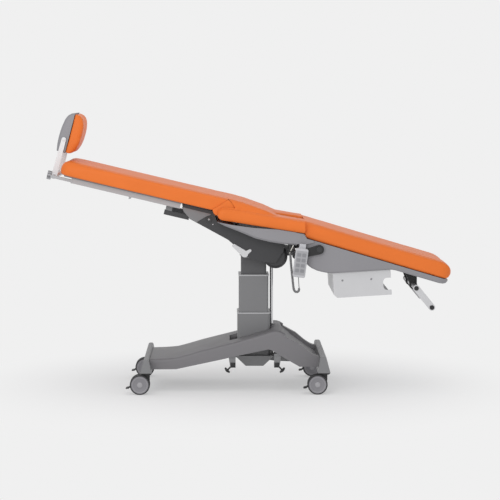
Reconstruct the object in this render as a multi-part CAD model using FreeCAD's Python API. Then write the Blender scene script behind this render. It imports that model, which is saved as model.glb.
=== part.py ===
import FreeCAD, Part
import math
import os

# Electric therapy table: base on castors, telescopic lift column, tilting seat,
# back with headrest, and leg section with a foot bar.
# Millimetres. +X to the foot end, -Y to the side with the handset, +Z up.
# Sizes below are measured from the axis of the lift column and from the floor.

Vector = FreeCAD.Vector
AXIS_Y = Vector(0, 1, 0)
AXIS_Z = Vector(0, 0, 1)

# The column stands this far to the foot side of the middle of the table
COLUMN_X = 25.0

# Clearances
RUN = 0.05          # radial, shaft in a hole
SLIDE = 0.3         # between sliding faces
SEAT_GAP = 0.5      # between parts that only lie on each other

# Castors
WHEEL_R = 50.0
WHEEL_TRACK = 300.0
WHEEL_INNER = 11.0
WHEEL_OUTER = 30.0
CASTOR_TRAIL = 38.0
CASTOR_WEB = 6.5
CASTOR_HEAD_R = 18.0
CASTOR_HEAD_TOP = 101.7
CASTOR_HEAD_THICK = 3.5
STEM_R = 11.0
STEM_TOP = 150.0
AXLE_R = 6.0
HEAD_STEM_X = -530.0
FOOT_STEM_X = 352.0
PEDAL_PIVOT = (-30.0, 52.0)
PEDAL_TIP = -71.0
PEDAL_TREAD = 17.0
PEDAL_PIN_R = 3.0

# Base frame
BEAM_HALF = 322.0
BEAM_BOTTOM = 107.0
HEAD_BEAM = (-565.0, -510.0, -548.0, -525.0, 176.0)
FOOT_BEAM = (316.0, 378.0, 328.0, 356.0, 190.0)
BEAM_WALL = 4.0
BUMPER = 5.0
SPINE_HALF = 60.0
PLATE_BOTTOM = 150.0
PLATE_TOP = 158.0
PAN = (-40.0, 49.0, 66.0)
PAN_SPREAD = 54.0
PAN_TOP = 166.0
PAN_WALL = 4.0

# Base cover
COVER_HALF = 230.0
COVER_WALL = 5.0
COVER_EDGE = 13.0
SLOT_END = -122.0
TROUGH_HALF = 185.0

# Foot switches
SWITCH_X = (-106.0, 114.0)
SWITCH_Y = -205.0
SWITCH_Z = 134.0
SWITCH_HALF = 13.5
PLUNGER_R = 4.0
PLUNGER_REACH = 45.0
MUSHROOM_R = 17.0

# Lift column
OUTER = (82.5, 100.0, 14.0)
MIDDLE = (75.0, 91.0, 11.0)
INNER = (64.0, 80.0, 9.0)
TUBE_WALL = 5.0
OUTER_TOP = 378.0
MIDDLE_BOTTOM = 270.0
MIDDLE_TOP = 570.0
INNER_BOTTOM = 372.0
INNER_TOP = 725.0
COLLAR = 6.0
COLLAR_DEPTH = 34.0
COLLAR_LIP = 2.0
SPINDLE_R = 12.0
SPINDLE_TOP = 480.0
NUT = 16.0
MOTOR_R = 28.0
MOTOR_X = 134.0
MOTOR_TOP = 262.0

# Guide rod
ROD_R = 8.5
ROD_X = 93.0
ROD_Y = 60.0
ROD_BOTTOM = 258.0
ROD_LUG = (284.0, 309.0)

# Head and tilt
HEAD_PLATE = 10.0
EAR_INNER = 94.0
EAR = 10.0
TILT = (-47.0, 691.0)
TILT_PIN_R = 12.0
CHEEK_INNER = 106.0
CHEEK = 10.0
PLATE_END = 205.0
CROSS_TUBE = (204.0, 690.0)
CROSS_TUBE_R = 12.0

# Arm casing
CASING_HALF = 200.0
CASING_WALL = 5.0
POCKET_HALF = 118.0
DRUM = (108.0, 676.0)
DRUM_R = 60.0
DRUM_OUTER = 185.0

# Seat
SEAT_ORIGIN = (0.0, 839.5)
SEAT_SLOPE = 9.2
SEAT_HALF = 315.0
SEAT_THICK = 60.0
SEAT_REAR = -195.0
SEAT_FRONT_X = 251.0
SEAT_CROWN_HALF = 285.0
CUTOUT_HALF = 95.0
CUTOUT_START = 100.0
SHELL_HALF = 298.0
SHELL_WALL = 5.0
SHELL_EDGE = 9.0

# Back
BACK_HINGE = (-225.0, 864.0)
BACK_SLOPE = 13.3
PAD_HALF = 283.0
BACK_PAD = (-776.0, 70.0, 53.0, 121.0)
BACK_PIN_R = 10.0
BOARD = (46.0, 52.5)
RAIL = (-703.0, -154.0)
RAIL_INNER = 205.0
RAIL_WIDTH = 30.0
RAIL_HEIGHT = 25.0
RAIL_WALL = 3.0
FOLD_RADIUS = 141.5

# Headrest
HEAD_TUBE_U = -802.0
HEAD_TUBE_N = 31.0
HEAD_TUBE_R = 9.0
ARM_INNER = 152.0
ARM = 8.0
ARM_R = 11.0
HUB_R = 14.0
HEAD_PIVOT = (-948.0, 1262.0)
HEAD_SLOPE = 15.0
HEAD_HALF = 148.0
HEAD_PIN_R = 6.0
KNOB_R = 22.0
KNOB_LENGTH = 19.0

# Leg section
LEG_HINGE = (322.0, 720.0)
LEG_SLOPE = 16.5
LEG_PAD = (662.0, 34.0, 108.0)
LEG_FRONT_X = 254.0
LEG_SHELL_HALF = 280.0
LEG_SHELL_WALL = 4.0
LEG_SHELL_FLAT = 6.5
LEG_SHELL_EDGE = 9.0
LEG_ARM_INNER = 285.5
LEG_ARM = 12.0
LEG_ARM_R = 23.0
LEG_PIN_R = 9.0
BOX_ORIGIN = (386.0, 599.7)
BOX_SLOPE = -3.5
BOX_HALF = 264.0
BOX_LENGTH = 288.0
BOX_HEIGHT = 125.0
SHEET = 3.0
FOOT_PIVOT = (807.0, 524.0)
FOOT_GRIP = (885.0, 428.0)
FOOT_TUBE_R = 12.5
FOOT_HALF = 265.0
FOOT_CAP = 3.0
FOOT_BRACKET_Y = 92.0
FOOT_BRACKET = 16.0

# Handset and cord
HANDSET = (227.5, 656.5)
HANDSET_SLOPE = 7.6
HANDSET_HALF = 31.0
HANDSET_HALF_HEIGHT = 71.5
HANDSET_FRONT = -331.0
HANDSET_BACK = -306.0
KEY_WIDTH = 19.0
KEY_HEIGHT = 17.0
KEY_PITCH_X = 25.0
KEY_PITCH_Z = 26.0
KEY_PROUD = 1.5
KEY_DEPTH = 5.0
LEAD_R = 2.5
CURL_R = 6.5
CORD_SIDES = 6
LEAD_ROUTE = (
    (217.5, -318.5, 585.0),
    (218.9, -318.5, 561.0),
    (220.5, -318.5, 537.0),
)
CURL_ROUTE = (
    (220.5, -318.5, 537.0),
    (221.63, -318.5, 520.0),
    (214.2, -316.5, 512.0),
    (203.4, -311.5, 511.5),
    (195.8, -306.5, 519.5),
    (192.5, -302.0, 541.0),
    (188.5, -298.5, 580.0),
    (183.0, -296.5, 632.0),
    (179.5, -293.0, 672.0),
    (178.0, -290.0, 706.0),
)


# Building blocks

def block(x0, x1, y0, y1, z0, z1):
    return Part.makeBox(x1 - x0, y1 - y0, z1 - z0, Vector(x0, y0, z0))


def rod_y(centre, radius, y0, y1):
    return Part.makeCylinder(radius, y1 - y0, Vector(centre[0], y0, centre[1]), AXIS_Y)


def rod_z(x, y, radius, z0, z1):
    return Part.makeCylinder(radius, z1 - z0, Vector(x, y, z0), AXIS_Z)


def side_wire(points):
    corners = [Vector(x, 0, z) for x, z in points]
    return Part.makePolygon(corners + corners[:1])


def slab(points, y0, y1):
    face = Part.Face(side_wire(points))
    face.translate(Vector(0, y0, 0))
    return face.extrude(Vector(0, y1 - y0, 0))


def outline_face(points):
    return Part.Face(side_wire(points))


def inset(points, wall):
    """The same closed outline moved inwards by the wall."""
    count = len(points)
    area = sum(points[i][0] * points[(i + 1) % count][1] - points[(i + 1) % count][0] * points[i][1]
               for i in range(count))
    turn = 1.0 if area > 0 else -1.0
    moved = []
    for index in range(count):
        before, here, after = points[index - 1], points[index], points[(index + 1) % count]
        into = Vector(here[0] - before[0], 0, here[1] - before[1]).normalize()
        out = Vector(after[0] - here[0], 0, after[1] - here[1]).normalize()
        middle = Vector(-into.z - out.z, 0, into.x + out.x) * (turn / 2)
        reach = wall / (middle.Length ** 2)
        moved.append((here[0] + middle.x * reach, here[1] + middle.z * reach))
    return moved


def moved(shape, x, z):
    copy = shape.copy()
    copy.translate(Vector(x, 0, z))
    return copy


def open_shell(points, half, wall, lift, back=(0.0, 0.0)):
    """A body and the hollow to take out of it. The hollow is lifted so that it opens the top.
    Near the side walls it stands back by the given step, so that a bevelled edge stays whole."""
    body = push_out(outline_face(points), half)
    face = outline_face(inset(points, wall))
    hollow = push_out(face, half - wall - max(back))
    if max(back) > 0:
        wide = push_out(face, half - wall)
        hollow = hollow.fuse(wide.common(moved(wide, *back)))
    return body, hollow.fuse(moved(hollow, *lift))


def side_edges_along(shape, half, line):
    """Edges in the two side planes that lie on an open line of points."""
    chosen = []
    for edge in side_edges(shape, half):
        middle = edge.CenterOfMass
        for start, end in zip(line, line[1:]):
            run = Vector(end[0] - start[0], 0, end[1] - start[1])
            to = Vector(middle.x - start[0], 0, middle.z - start[1])
            along = to.dot(run) / run.Length
            aside = abs(to.x * run.z - to.z * run.x) / run.Length
            if aside < 0.1 and -0.1 < along < run.Length + 0.1:
                chosen.append(edge)
                break
    return chosen


def push_out(face, half):
    copy = face.copy()
    copy.translate(Vector(0, -half, 0))
    return copy.extrude(Vector(0, 2 * half, 0))


def upright(section, z0, z1, grow=0.0):
    """A rounded rectangular bar standing on z0."""
    half_x, half_y, corner = section
    bar = block(-half_x - grow, half_x + grow, -half_y - grow, half_y + grow, z0, z1)
    return bar.makeFillet(corner + grow, edges_along(bar, AXIS_Z))


def edges_along(shape, direction):
    chosen = []
    for edge in shape.Edges:
        if edge.Curve.TypeId == "Part::GeomLine" and abs(edge.Curve.Direction.dot(direction)) > 0.999:
            chosen.append(edge)
    return chosen


def side_edges(shape, half, keep=lambda point: True):
    """Edges that lie in the two side planes y = -half and y = half."""
    chosen = []
    for edge in shape.Edges:
        box = edge.BoundBox
        if box.YLength < 0.001 and abs(abs(box.YMin) - half) < 0.001 and keep(box.Center):
            chosen.append(edge)
    return chosen


def mirrored(shape):
    return shape.mirror(Vector(0, 0, 0), AXIS_Y)


def pair(shape):
    return Part.makeCompound([shape, mirrored(shape)])


def join(*shapes):
    whole = shapes[0]
    for shape in shapes[1:]:
        whole = whole.fuse(shape)
    return whole.removeSplitter()


def place(shape, origin, slope):
    """Turn a piece that was drawn level down towards the foot end, and set it on its origin."""
    shape.rotate(Vector(0, 0, 0), AXIS_Y, slope)
    shape.translate(Vector(origin[0], 0, origin[1]))
    return shape


def point_at(origin, slope, along, up):
    angle = math.radians(slope)
    x = origin[0] + along * math.cos(angle) + up * math.sin(angle)
    z = origin[1] - along * math.sin(angle) + up * math.cos(angle)
    return (x, z)


def link(start, end, start_r, end_r, y0, y1):
    """A flat bar with round ends."""
    dx, dz = end[0] - start[0], end[1] - start[1]
    length = math.hypot(dx, dz)
    nx, nz = -dz / length, dx / length
    sides = [
        (start[0] + nx * start_r, start[1] + nz * start_r),
        (end[0] + nx * end_r, end[1] + nz * end_r),
        (end[0] - nx * end_r, end[1] - nz * end_r),
        (start[0] - nx * start_r, start[1] - nz * start_r),
    ]
    return join(slab(sides, y0, y1), rod_y(start, start_r, y0, y1), rod_y(end, end_r, y0, y1))


# Castors

def castor_parts(stem_x, side):
    """One castor: housing with stem, wheel pair and brake pedal."""
    y = side * WHEEL_TRACK
    centre = (stem_x - CASTOR_TRAIL, WHEEL_R)
    web_r = WHEEL_R - 3.0
    web = rod_y(centre, web_r, y - CASTOR_WEB, y + CASTOR_WEB)
    under = block(centre[0] - WHEEL_R, centre[0] + WHEEL_R, y - WHEEL_R, y + WHEEL_R, 0, WHEEL_R - 12.0)
    web = web.cut(under)
    behind = block(centre[0] - WHEEL_R, centre[0] - WHEEL_R * 0.76, y - WHEEL_R, y + WHEEL_R, 0, 2 * WHEEL_R)
    web = web.cut(behind)
    neck_top = CASTOR_HEAD_TOP - CASTOR_HEAD_THICK / 2
    neck = slab([(centre[0], WHEEL_R), (stem_x + 6.0, WHEEL_R), (stem_x + 11.0, 72.0), (stem_x + 11.0, neck_top),
                 (centre[0], neck_top)], y - CASTOR_WEB, y + CASTOR_WEB)
    head = block(stem_x - CASTOR_HEAD_R, stem_x + CASTOR_HEAD_R, y - CASTOR_HEAD_R, y + CASTOR_HEAD_R,
                 CASTOR_HEAD_TOP - CASTOR_HEAD_THICK, CASTOR_HEAD_TOP)
    head = head.makeChamfer(8.0, edges_along(head, AXIS_Z))
    stem = rod_z(stem_x, y, STEM_R, CASTOR_HEAD_TOP - 1.0, STEM_TOP)
    housing = join(web, neck, head, stem)
    housing = housing.cut(rod_y(centre, AXLE_R + RUN, y - WHEEL_OUTER, y + WHEEL_OUTER))
    pivot = (centre[0] + PEDAL_PIVOT[0], PEDAL_PIVOT[1])
    housing = housing.cut(rod_y(pivot, PEDAL_PIN_R + RUN, y - WHEEL_OUTER, y + WHEEL_OUTER))

    disc = rod_y(centre, WHEEL_R, y + WHEEL_INNER, y + WHEEL_OUTER)
    other = disc.mirror(Vector(0, y, 0), AXIS_Y)
    axle = rod_y(centre, AXLE_R, y - WHEEL_INNER - 1.0, y + WHEEL_INNER + 1.0)
    wheels = join(disc, axle, other)

    ear_in = CASTOR_WEB + 0.5
    ear_out = WHEEL_INNER - 1.0
    tip = centre[0] + PEDAL_TIP
    tread_end = tip + PEDAL_TREAD
    ears = []
    for sign in (-1, 1):
        low, high = sorted((y + sign * ear_in, y + sign * ear_out))
        ears.append(slab([(pivot[0] + 6.0, pivot[1] - 4.0), (pivot[0] + 5.0, pivot[1] + 6.0),
                          (pivot[0] - 5.0, pivot[1] + 6.0), (tread_end - 2.0, 38.0), (tread_end - 2.0, 31.0)],
                         low, high))
    tread = slab([(tip, 31.0), (tip + 3.0, 29.0), (tread_end, 30.5), (tread_end, 39.0), (tip + 3.0, 36.0)],
                 y - 14.0, y + 14.0)
    pin = rod_y(pivot, PEDAL_PIN_R, y - ear_out, y + ear_out)
    pedal = join(tread, ears[0], ears[1], pin)
    return housing, wheels, pedal


# Base

def beam(sizes):
    """A cross beam pressed from sheet, open below between the two castors."""
    low_0, low_1, top_0, top_1, top = sizes
    body = slab([(low_0, BEAM_BOTTOM), (low_1, BEAM_BOTTOM), (top_1, top), (top_0, top)], -BEAM_HALF, BEAM_HALF)
    crown = [edge for edge in edges_along(body, AXIS_Y) if edge.BoundBox.ZMin > top - 1.0]
    body = body.makeChamfer(5.0, crown)
    wall = 1.3 * BEAM_WALL
    inside = slab([(low_0 + wall, BEAM_BOTTOM - 1), (low_1 - wall, BEAM_BOTTOM - 1), (top_1 - wall, top - 2 * wall),
                   (top_0 + wall, top - 2 * wall)], SPINE_HALF + BEAM_WALL, WHEEL_TRACK - 2.5 * STEM_R)
    return body.cut(inside).cut(mirrored(inside))


def pan_solid(wall):
    """The tapered pan that carries the foot of the column."""
    levels = []
    for z, spread in ((BEAM_BOTTOM + wall, 0.0), (PAN_TOP, PAN_SPREAD)):
        x0, x1, y = PAN[0] - spread + wall, PAN[1] + spread - wall, PAN[2] + spread - wall
        levels.append(Part.makePolygon([Vector(x0, -y, z), Vector(x1, -y, z), Vector(x1, y, z),
                                        Vector(x0, y, z), Vector(x0, -y, z)]))
    return Part.makeLoft(levels, True, True)


def make_base_frame():
    head = beam(HEAD_BEAM)
    foot = beam(FOOT_BEAM)
    head_spine = slab([(-518, 122), (-395, 124), (-150, 156), (-88, PLATE_BOTTOM), (-60, 140),
                       (-84, 210), (-150, 196), (-395, 160), (-521, 150)], -SPINE_HALF, SPINE_HALF)
    foot_spine = slab([(60, 140), (110, 132), (322, 124), (326, 146), (250, 152), (190, 172), (168, PLATE_TOP),
                       (86, PLATE_TOP)], -SPINE_HALF, SPINE_HALF)
    frame = join(head, foot, head_spine, foot_spine, pan_solid(0.0))
    void = pan_solid(PAN_WALL).common(block(-200, 200, -200, 200, BEAM_BOTTOM, PLATE_BOTTOM))
    frame = frame.cut(void)
    frame = frame.cut(upright(MIDDLE, PLATE_BOTTOM - 1, PLATE_TOP + 1, 1.0))
    frame = frame.cut(upright(OUTER, PLATE_TOP, 400, 0.5))
    frame = frame.cut(rod_z(ROD_X, ROD_Y, ROD_R + 3.0, BEAM_BOTTOM - 1, 260))
    for stem_x in (HEAD_STEM_X, FOOT_STEM_X):
        for side in (-1, 1):
            frame = frame.cut(rod_z(stem_x, side * WHEEL_TRACK, STEM_R + RUN, BEAM_BOTTOM - 1, STEM_TOP + 2))
    return frame


def make_beam_bumpers():
    strips = []
    for stem_x, sizes in ((HEAD_STEM_X, HEAD_BEAM), (FOOT_STEM_X, FOOT_BEAM)):
        for side in (-1, 1):
            low, high = sorted((side * (WHEEL_TRACK - 38), side * (BEAM_HALF - 2)))
            strip = block(sizes[0] + 3, sizes[1] - 3, low, high, BEAM_BOTTOM - BUMPER, BEAM_BOTTOM)
            strip = strip.makeChamfer(4.0, edges_along(strip, AXIS_Z))
            reach = STEM_R + 1.0
            middle = side * WHEEL_TRACK
            strips.append(strip.cut(block(stem_x - reach, stem_x + reach, middle - reach, middle + reach,
                                          90, BEAM_BOTTOM + 1)))
    return Part.makeCompound(strips)


COVER_TOP = [(-522, 165), (-455, 167), (-390, 172), (-330, 188), (-270, 206), (-80, 254), (60, 295), (86, 304),
             (110, 308), (132, 305), (150, 296), (228, 240), (268, 206), (300, 185), (325.5, 178)]


def cover_hollow(drop, half):
    line = [(x, z - drop) for x, z in COVER_TOP]
    return push_out(outline_face(line + [(line[-1][0], 60), (line[0][0], 60)]), half)


def make_base_cover():
    under = [(318, 126), (228, 126), (164, 163), (104, 200), (77, 215), (-90, 180), (-155, 165), (-390, 115),
             (-511, 114)]
    outer = push_out(outline_face(COVER_TOP + under), COVER_HALF)
    outer = outer.makeChamfer(COVER_EDGE, side_edges_along(outer, COVER_HALF, COVER_TOP))
    inner = cover_hollow(COVER_WALL, COVER_HALF - COVER_EDGE - COVER_WALL)
    inner = inner.fuse(cover_hollow(COVER_EDGE + COVER_WALL, COVER_HALF - COVER_WALL))
    trough_line = [(132, 330), (148, 280), (190, 246), (240, 208), (275, 182), (310, 160), (345, 152), (345, 330)]
    trough = slab(trough_line, -TROUGH_HALF, TROUGH_HALF)
    grown = [(x, z - COVER_WALL * 1.3) for x, z in trough_line]
    wider = slab(grown, -TROUGH_HALF - COVER_WALL, TROUGH_HALF + COVER_WALL)
    cover = outer.cut(trough).cut(inner.cut(wider))
    cover = cover.cut(block(SLOT_END, OUTER[0] + 3.0, -OUTER[1] - 3.0, OUTER[1] + 3.0, 150, 330))
    lug_room = block(OUTER[0], ROD_X + 20.0, ROD_Y - 18.0, ROD_Y + 18.0, 200, 330)
    cover = cover.cut(lug_room)
    frame_room = block(-525, -505, -SPINE_HALF - 1, SPINE_HALF + 1, 100, 156)
    cover = cover.cut(frame_room).cut(block(312, 330, -SPINE_HALF - 1, SPINE_HALF + 1, 100, 156))
    return cover


def make_switch_bodies():
    """Two square switch bodies, each on a plate that hangs from the side wall of the cover."""
    solids = []
    for x, sign in ((SWITCH_X[0], -1), (SWITCH_X[1], 1)):
        body = block(x - SWITCH_HALF, x + SWITCH_HALF, SWITCH_Y - SWITCH_HALF, SWITCH_Y + SWITCH_HALF,
                     SWITCH_Z - SWITCH_HALF, SWITCH_Z + SWITCH_HALF)
        plate_top = 180.0 if sign < 0 else 192.0
        spread = sign * 26.0
        plate = slab([(x - SWITCH_HALF, SWITCH_Z - 6), (x + SWITCH_HALF, SWITCH_Z - 6),
                      (x + SWITCH_HALF + max(spread, 0) * 0.2, SWITCH_Z + 20),
                      (x + SWITCH_HALF + max(spread, 0) * 0.3, plate_top),
                      (x - SWITCH_HALF + min(spread, 0) * 0.3, plate_top),
                      (x - SWITCH_HALF + min(spread, 0) * 0.2, SWITCH_Z + 20)],
                     SWITCH_Y - SWITCH_HALF - 4.0, SWITCH_Y - SWITCH_HALF)
        hanger = block(x - SWITCH_HALF, x + SWITCH_HALF, -COVER_HALF + COVER_WALL,
                       SWITCH_Y - SWITCH_HALF, plate_top - 12.0, plate_top)
        whole = join(body, plate, hanger)
        whole = whole.cut(plunger_shaft(x, sign, PLUNGER_R + RUN))
        solids.append(whole)
    return Part.makeCompound(solids)


def plunger_direction(sign):
    return Vector(sign * math.sqrt(0.5), 0, -math.sqrt(0.5))


def plunger_shaft(x, sign, radius):
    direction = plunger_direction(sign)
    start = Vector(x, SWITCH_Y, SWITCH_Z)
    return Part.makeCylinder(radius, PLUNGER_REACH - 8.0, start, direction)


def make_plunger(x, sign):
    direction = plunger_direction(sign)
    start = Vector(x, SWITCH_Y, SWITCH_Z)
    shaft = Part.makeCylinder(PLUNGER_R, PLUNGER_REACH - 16.0, start + direction * 8.0, direction)
    cap = Part.makeCylinder(MUSHROOM_R, 7.0, start + direction * (PLUNGER_REACH - 9.0), direction)
    return join(shaft, cap)


# Lift column

def tube(section, z0, z1):
    half_x, half_y, corner = section
    hollow = (half_x - TUBE_WALL, half_y - TUBE_WALL, corner - TUBE_WALL)
    return upright(section, z0, z1).cut(upright(hollow, z0 - 1, z1 + 1))


def inside(section):
    return (section[0] - TUBE_WALL, section[1] - TUBE_WALL, section[2] - TUBE_WALL)


def make_column_outer():
    lug = block(OUTER[0] - 1.0, ROD_X + 18.0, ROD_Y - 16.0, ROD_Y + 16.0, ROD_LUG[0], ROD_LUG[1])
    lug = lug.cut(rod_z(ROD_X, ROD_Y, ROD_R + RUN, ROD_LUG[0] - 1, ROD_LUG[1] + 1))
    return join(tube(OUTER, PLATE_TOP, OUTER_TOP), lug)


def collar(carrier, runner, top):
    """Glide collar: a sleeve inside the carrier tube with a lip over its top edge."""
    sleeve = upright(inside(carrier), top - COLLAR_DEPTH, top)
    lip = upright(carrier, top, top + COLLAR, COLLAR_LIP)
    return join(sleeve, lip).cut(upright(runner, top - COLLAR_DEPTH - 1, top + COLLAR + 1, SLIDE))


def make_column_inner():
    body = tube(INNER, INNER_BOTTOM, INNER_TOP)
    nut = upright(inside(INNER), INNER_BOTTOM, INNER_BOTTOM + NUT)
    nut = nut.cut(rod_z(0, 0, SPINDLE_R + RUN, INNER_BOTTOM - 1, INNER_BOTTOM + NUT + 1))
    return join(body, nut)


def make_lift_drive():
    """Belt case with the spindle in the pan, and the motor on the spine beside the column."""
    case_low = BEAM_BOTTOM + PAN_WALL
    belt_case = block(PAN[0] + 8, PAN[1] - 8, -40, 40, case_low, case_low + 20.0)
    spindle = rod_z(0, 0, SPINDLE_R, case_low + 10.0, SPINDLE_TOP)
    motor = rod_z(MOTOR_X, 0, MOTOR_R, PLATE_TOP, MOTOR_TOP)
    return Part.makeCompound([join(spindle, belt_case), motor])


def make_guide_rod():
    rod = rod_z(ROD_X, ROD_Y, ROD_R, ROD_BOTTOM, INNER_TOP)
    return rod.makeChamfer(1.5, [edge for edge in rod.Edges if edge.BoundBox.ZMax < ROD_BOTTOM + 0.1])


# Head, chassis and casing

def make_head_bracket():
    plate = block(-75, ROD_X + 19.0, -EAR_INNER - EAR, EAR_INNER + EAR, INNER_TOP, INNER_TOP + HEAD_PLATE)
    plate = plate.makeFillet(8.0, edges_along(plate, AXIS_Z))
    ears = []
    for sign in (-1, 1):
        low, high = sorted((sign * EAR_INNER, sign * (EAR_INNER + EAR)))
        ear = join(slab([(-75, INNER_TOP + 1), (-69, TILT[1]), (-25, TILT[1]), (-5, INNER_TOP + 1)], low, high),
                   rod_y(TILT, 22.0, low, high))
        ears.append(ear)
    bracket = join(plate, ears[0], ears[1])
    return bracket.cut(rod_y(TILT, TILT_PIN_R + RUN, -200, 200))


def make_tilt_pins():
    """Two flanged pins, each screwed to the outside of the casing by two ears."""
    outside = CASING_HALF
    shaft = rod_y(TILT, TILT_PIN_R, EAR_INNER - 1.0, outside + 1.0)
    flange = link((-100.0, 732.0), TILT, 9.0, 17.0, outside, outside + 6.0)
    tab = link(TILT, (-20.0, 708.0), 12.0, 7.0, outside, outside + 6.0)
    return pair(join(shaft, flange, tab))


def cheek_outline():
    return [(-247, 868), (-240, 886), (-225, 890), (-205, 882), (-184, 846), (-145, 828), (-88, 804),
            (-82, 842), (82, 816), (86, 745), (110, 724), (206, 703), (206, 677), (60, 668), (-20, 662),
            (-47, 666), (-70, 677), (-78, 712), (-84, 736), (-125, 776), (-232, 842)]


def make_chassis_frame():
    cheeks = []
    for sign in (-1, 1):
        low, high = sorted((sign * CHEEK_INNER, sign * (CHEEK_INNER + CHEEK)))
        cheeks.append(slab(cheek_outline(), low, high))
    plate = block(-75, PLATE_END, -240, 240, -14.0, -3.0)
    plate = plate.cut(cutout(-20, 10, CUTOUT_HALF + 6.0, CUTOUT_START - 6.0))
    plate = place(plate, SEAT_ORIGIN, SEAT_SLOPE)
    lugs = place(block(-70, PLATE_END, 150, 240, -3.5, -SEAT_GAP), SEAT_ORIGIN, SEAT_SLOPE)
    cross = rod_y(CROSS_TUBE, CROSS_TUBE_R, -LEG_ARM_INNER, LEG_ARM_INNER)
    frame = join(cheeks[0], cheeks[1], plate, lugs, mirrored(lugs), cross)
    frame = frame.cut(rod_y(BACK_HINGE, BACK_PIN_R, -200, 200))
    return frame.cut(rod_y(TILT, TILT_PIN_R, -200, 200))


def shell_bottom():
    return [(-185, 857), (-145, 837), (-71, 808), (8, 775), (78, 758), (152, 746), (211, 741)]


def casing_outline():
    under_shell = [(x, z - 1.0) for x, z in shell_bottom()[:-1]]
    top_left = point_at(BACK_HINGE, BACK_SLOPE, -148, BOARD[0] - 1.0)
    top_right = point_at(BACK_HINGE, BACK_SLOPE, 6, BOARD[0] - 1.0)
    return [top_left, top_right, (-196, 890), (-187, 858)] + under_shell + [
        (148, 705), (108, 645), (45, 650), (-20, 668), (-62, 700), (-90, 727), (-130, 762), (-320, 866),
        (-352, 903)]


def make_arm_casing():
    lift = (1.5, 2 * CASING_WALL)
    outer, hollow = open_shell(casing_outline(), CASING_HALF, CASING_WALL, lift)
    casing = outer.cut(hollow)
    pocket = block(-84, 176, -POCKET_HALF, POCKET_HALF, 600, 760)
    casing = casing.cut(pocket)
    stops = place(block(-226, -98, 165, 190, -27.0, -3.5), BACK_HINGE, BACK_SLOPE)
    pieces = [casing]
    for sign in (-1, 1):
        low, high = sorted((sign * POCKET_HALF, sign * DRUM_OUTER))
        drum = rod_y(DRUM, DRUM_R, low, high)
        rims = [edge for edge in drum.Edges if abs(edge.BoundBox.YMin - sign * DRUM_OUTER) < 0.01
                and edge.BoundBox.YLength < 0.01]
        pieces.append(drum.makeChamfer(14.0, rims))
        stop = stops if sign > 0 else mirrored(stops)
        pieces.append(stop)
    casing = join(*pieces)
    casing = casing.cut(rod_y(BACK_HINGE, BACK_PIN_R + 0.2, -220, 220))
    casing = casing.cut(rod_y(TILT, TILT_PIN_R + 0.2, -220, 220))
    lug_room = block(-205, -180, -131.0, 131.0, 845, 896)
    return casing.cut(lug_room)


def make_back_hinge_pin():
    """The pin across the casing, with a socket head at each end."""
    pin = rod_y(BACK_HINGE, BACK_PIN_R, -CASING_HALF - 1.0, CASING_HALF + 1.0)
    head = rod_y(BACK_HINGE, 15.0, CASING_HALF, CASING_HALF + 5.0)
    head = head.cut(rod_y(BACK_HINGE, 6.0, CASING_HALF + 2.0, CASING_HALF + 6.0))
    return join(pin, head, mirrored(head))


# Seat

def cutout(n0, n1, half, start):
    """The U-shaped opening of the seat, open to the foot end, as a solid to take away."""
    round_end = Part.makeCylinder(half, n1 - n0, Vector(start + half, 0, n0), AXIS_Z)
    return round_end.fuse(block(start + half, 400, -half, half, n0, n1)).removeSplitter()


def make_seat_pad():
    wings = block(SEAT_REAR, 262, -SEAT_HALF, SEAT_HALF, 0, SEAT_THICK)
    rear = [edge for edge in edges_along(wings, AXIS_Z) if edge.BoundBox.XMax < 0]
    wings = wings.makeFillet(24.0, rear)
    top = [edge for edge in wings.Edges if edge.BoundBox.ZMin > SEAT_THICK - 0.1 and edge.BoundBox.XMin < 260]
    wings = wings.makeChamfer(10.0, top)
    low = [edge for edge in wings.Edges if edge.BoundBox.ZMax < 0.1 and edge.BoundBox.XMin < 260]
    wings = wings.makeChamfer(5.0, low)
    crown_line = [(-200, 107), (-130, 103), (-62, 96), (40, 77), (112, 58)]
    crown = push_out(outline_face([(112, 30), (-200, 30)] + crown_line), SEAT_CROWN_HALF)
    crown = crown.makeChamfer(9.0, side_edges_along(crown, SEAT_CROWN_HALF, crown_line))
    pad = join(wings, crown).cut(cutout(-5, 120, CUTOUT_HALF, CUTOUT_START))
    pad = place(pad, SEAT_ORIGIN, SEAT_SLOPE)
    pad = pad.cut(rod_y(BACK_HINGE, FOLD_RADIUS, -PAD_HALF - 5.0, PAD_HALF + 5.0))
    return pad.cut(block(SEAT_FRONT_X, 400, -400, 400, 600, 1100))


def make_seat_shell():
    rim_front = point_at(SEAT_ORIGIN, SEAT_SLOPE, 211, -SEAT_GAP)
    rim_mid = point_at(SEAT_ORIGIN, SEAT_SLOPE, 118, -SEAT_GAP)
    bottom = shell_bottom()
    outline = [(-100, 841), (0, 828), rim_mid, rim_front] + list(reversed(bottom))
    outer, hollow = open_shell(outline, SHELL_HALF, SHELL_WALL, (0, 2 * SHELL_WALL), (0, SHELL_EDGE))
    outer = outer.makeChamfer(SHELL_EDGE, side_edges_along(outer, SHELL_HALF, bottom))
    shell = outer.cut(hollow)
    shell = shell.cut(block(-92, 92, -CHEEK_INNER - CHEEK - 8.0, CHEEK_INNER + CHEEK + 8.0, 740, 835))
    plan = Part.Face(Part.makePolygon([Vector(206, 285, 700), Vector(206, SHELL_HALF, 700),
                                       Vector(228, SHELL_HALF, 700), Vector(295, 288, 700),
                                       Vector(295, 285, 700), Vector(206, 285, 700)]))
    cheek = plan.extrude(Vector(0, 0, 150))
    cheek = cheek.common(slab([(206, 748), (206, 804), (246, 797.5), (262, 772), (295, 764), (295, 752),
                               (250, 746)], 280, 300))
    return join(shell, cheek, mirrored(cheek))


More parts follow.
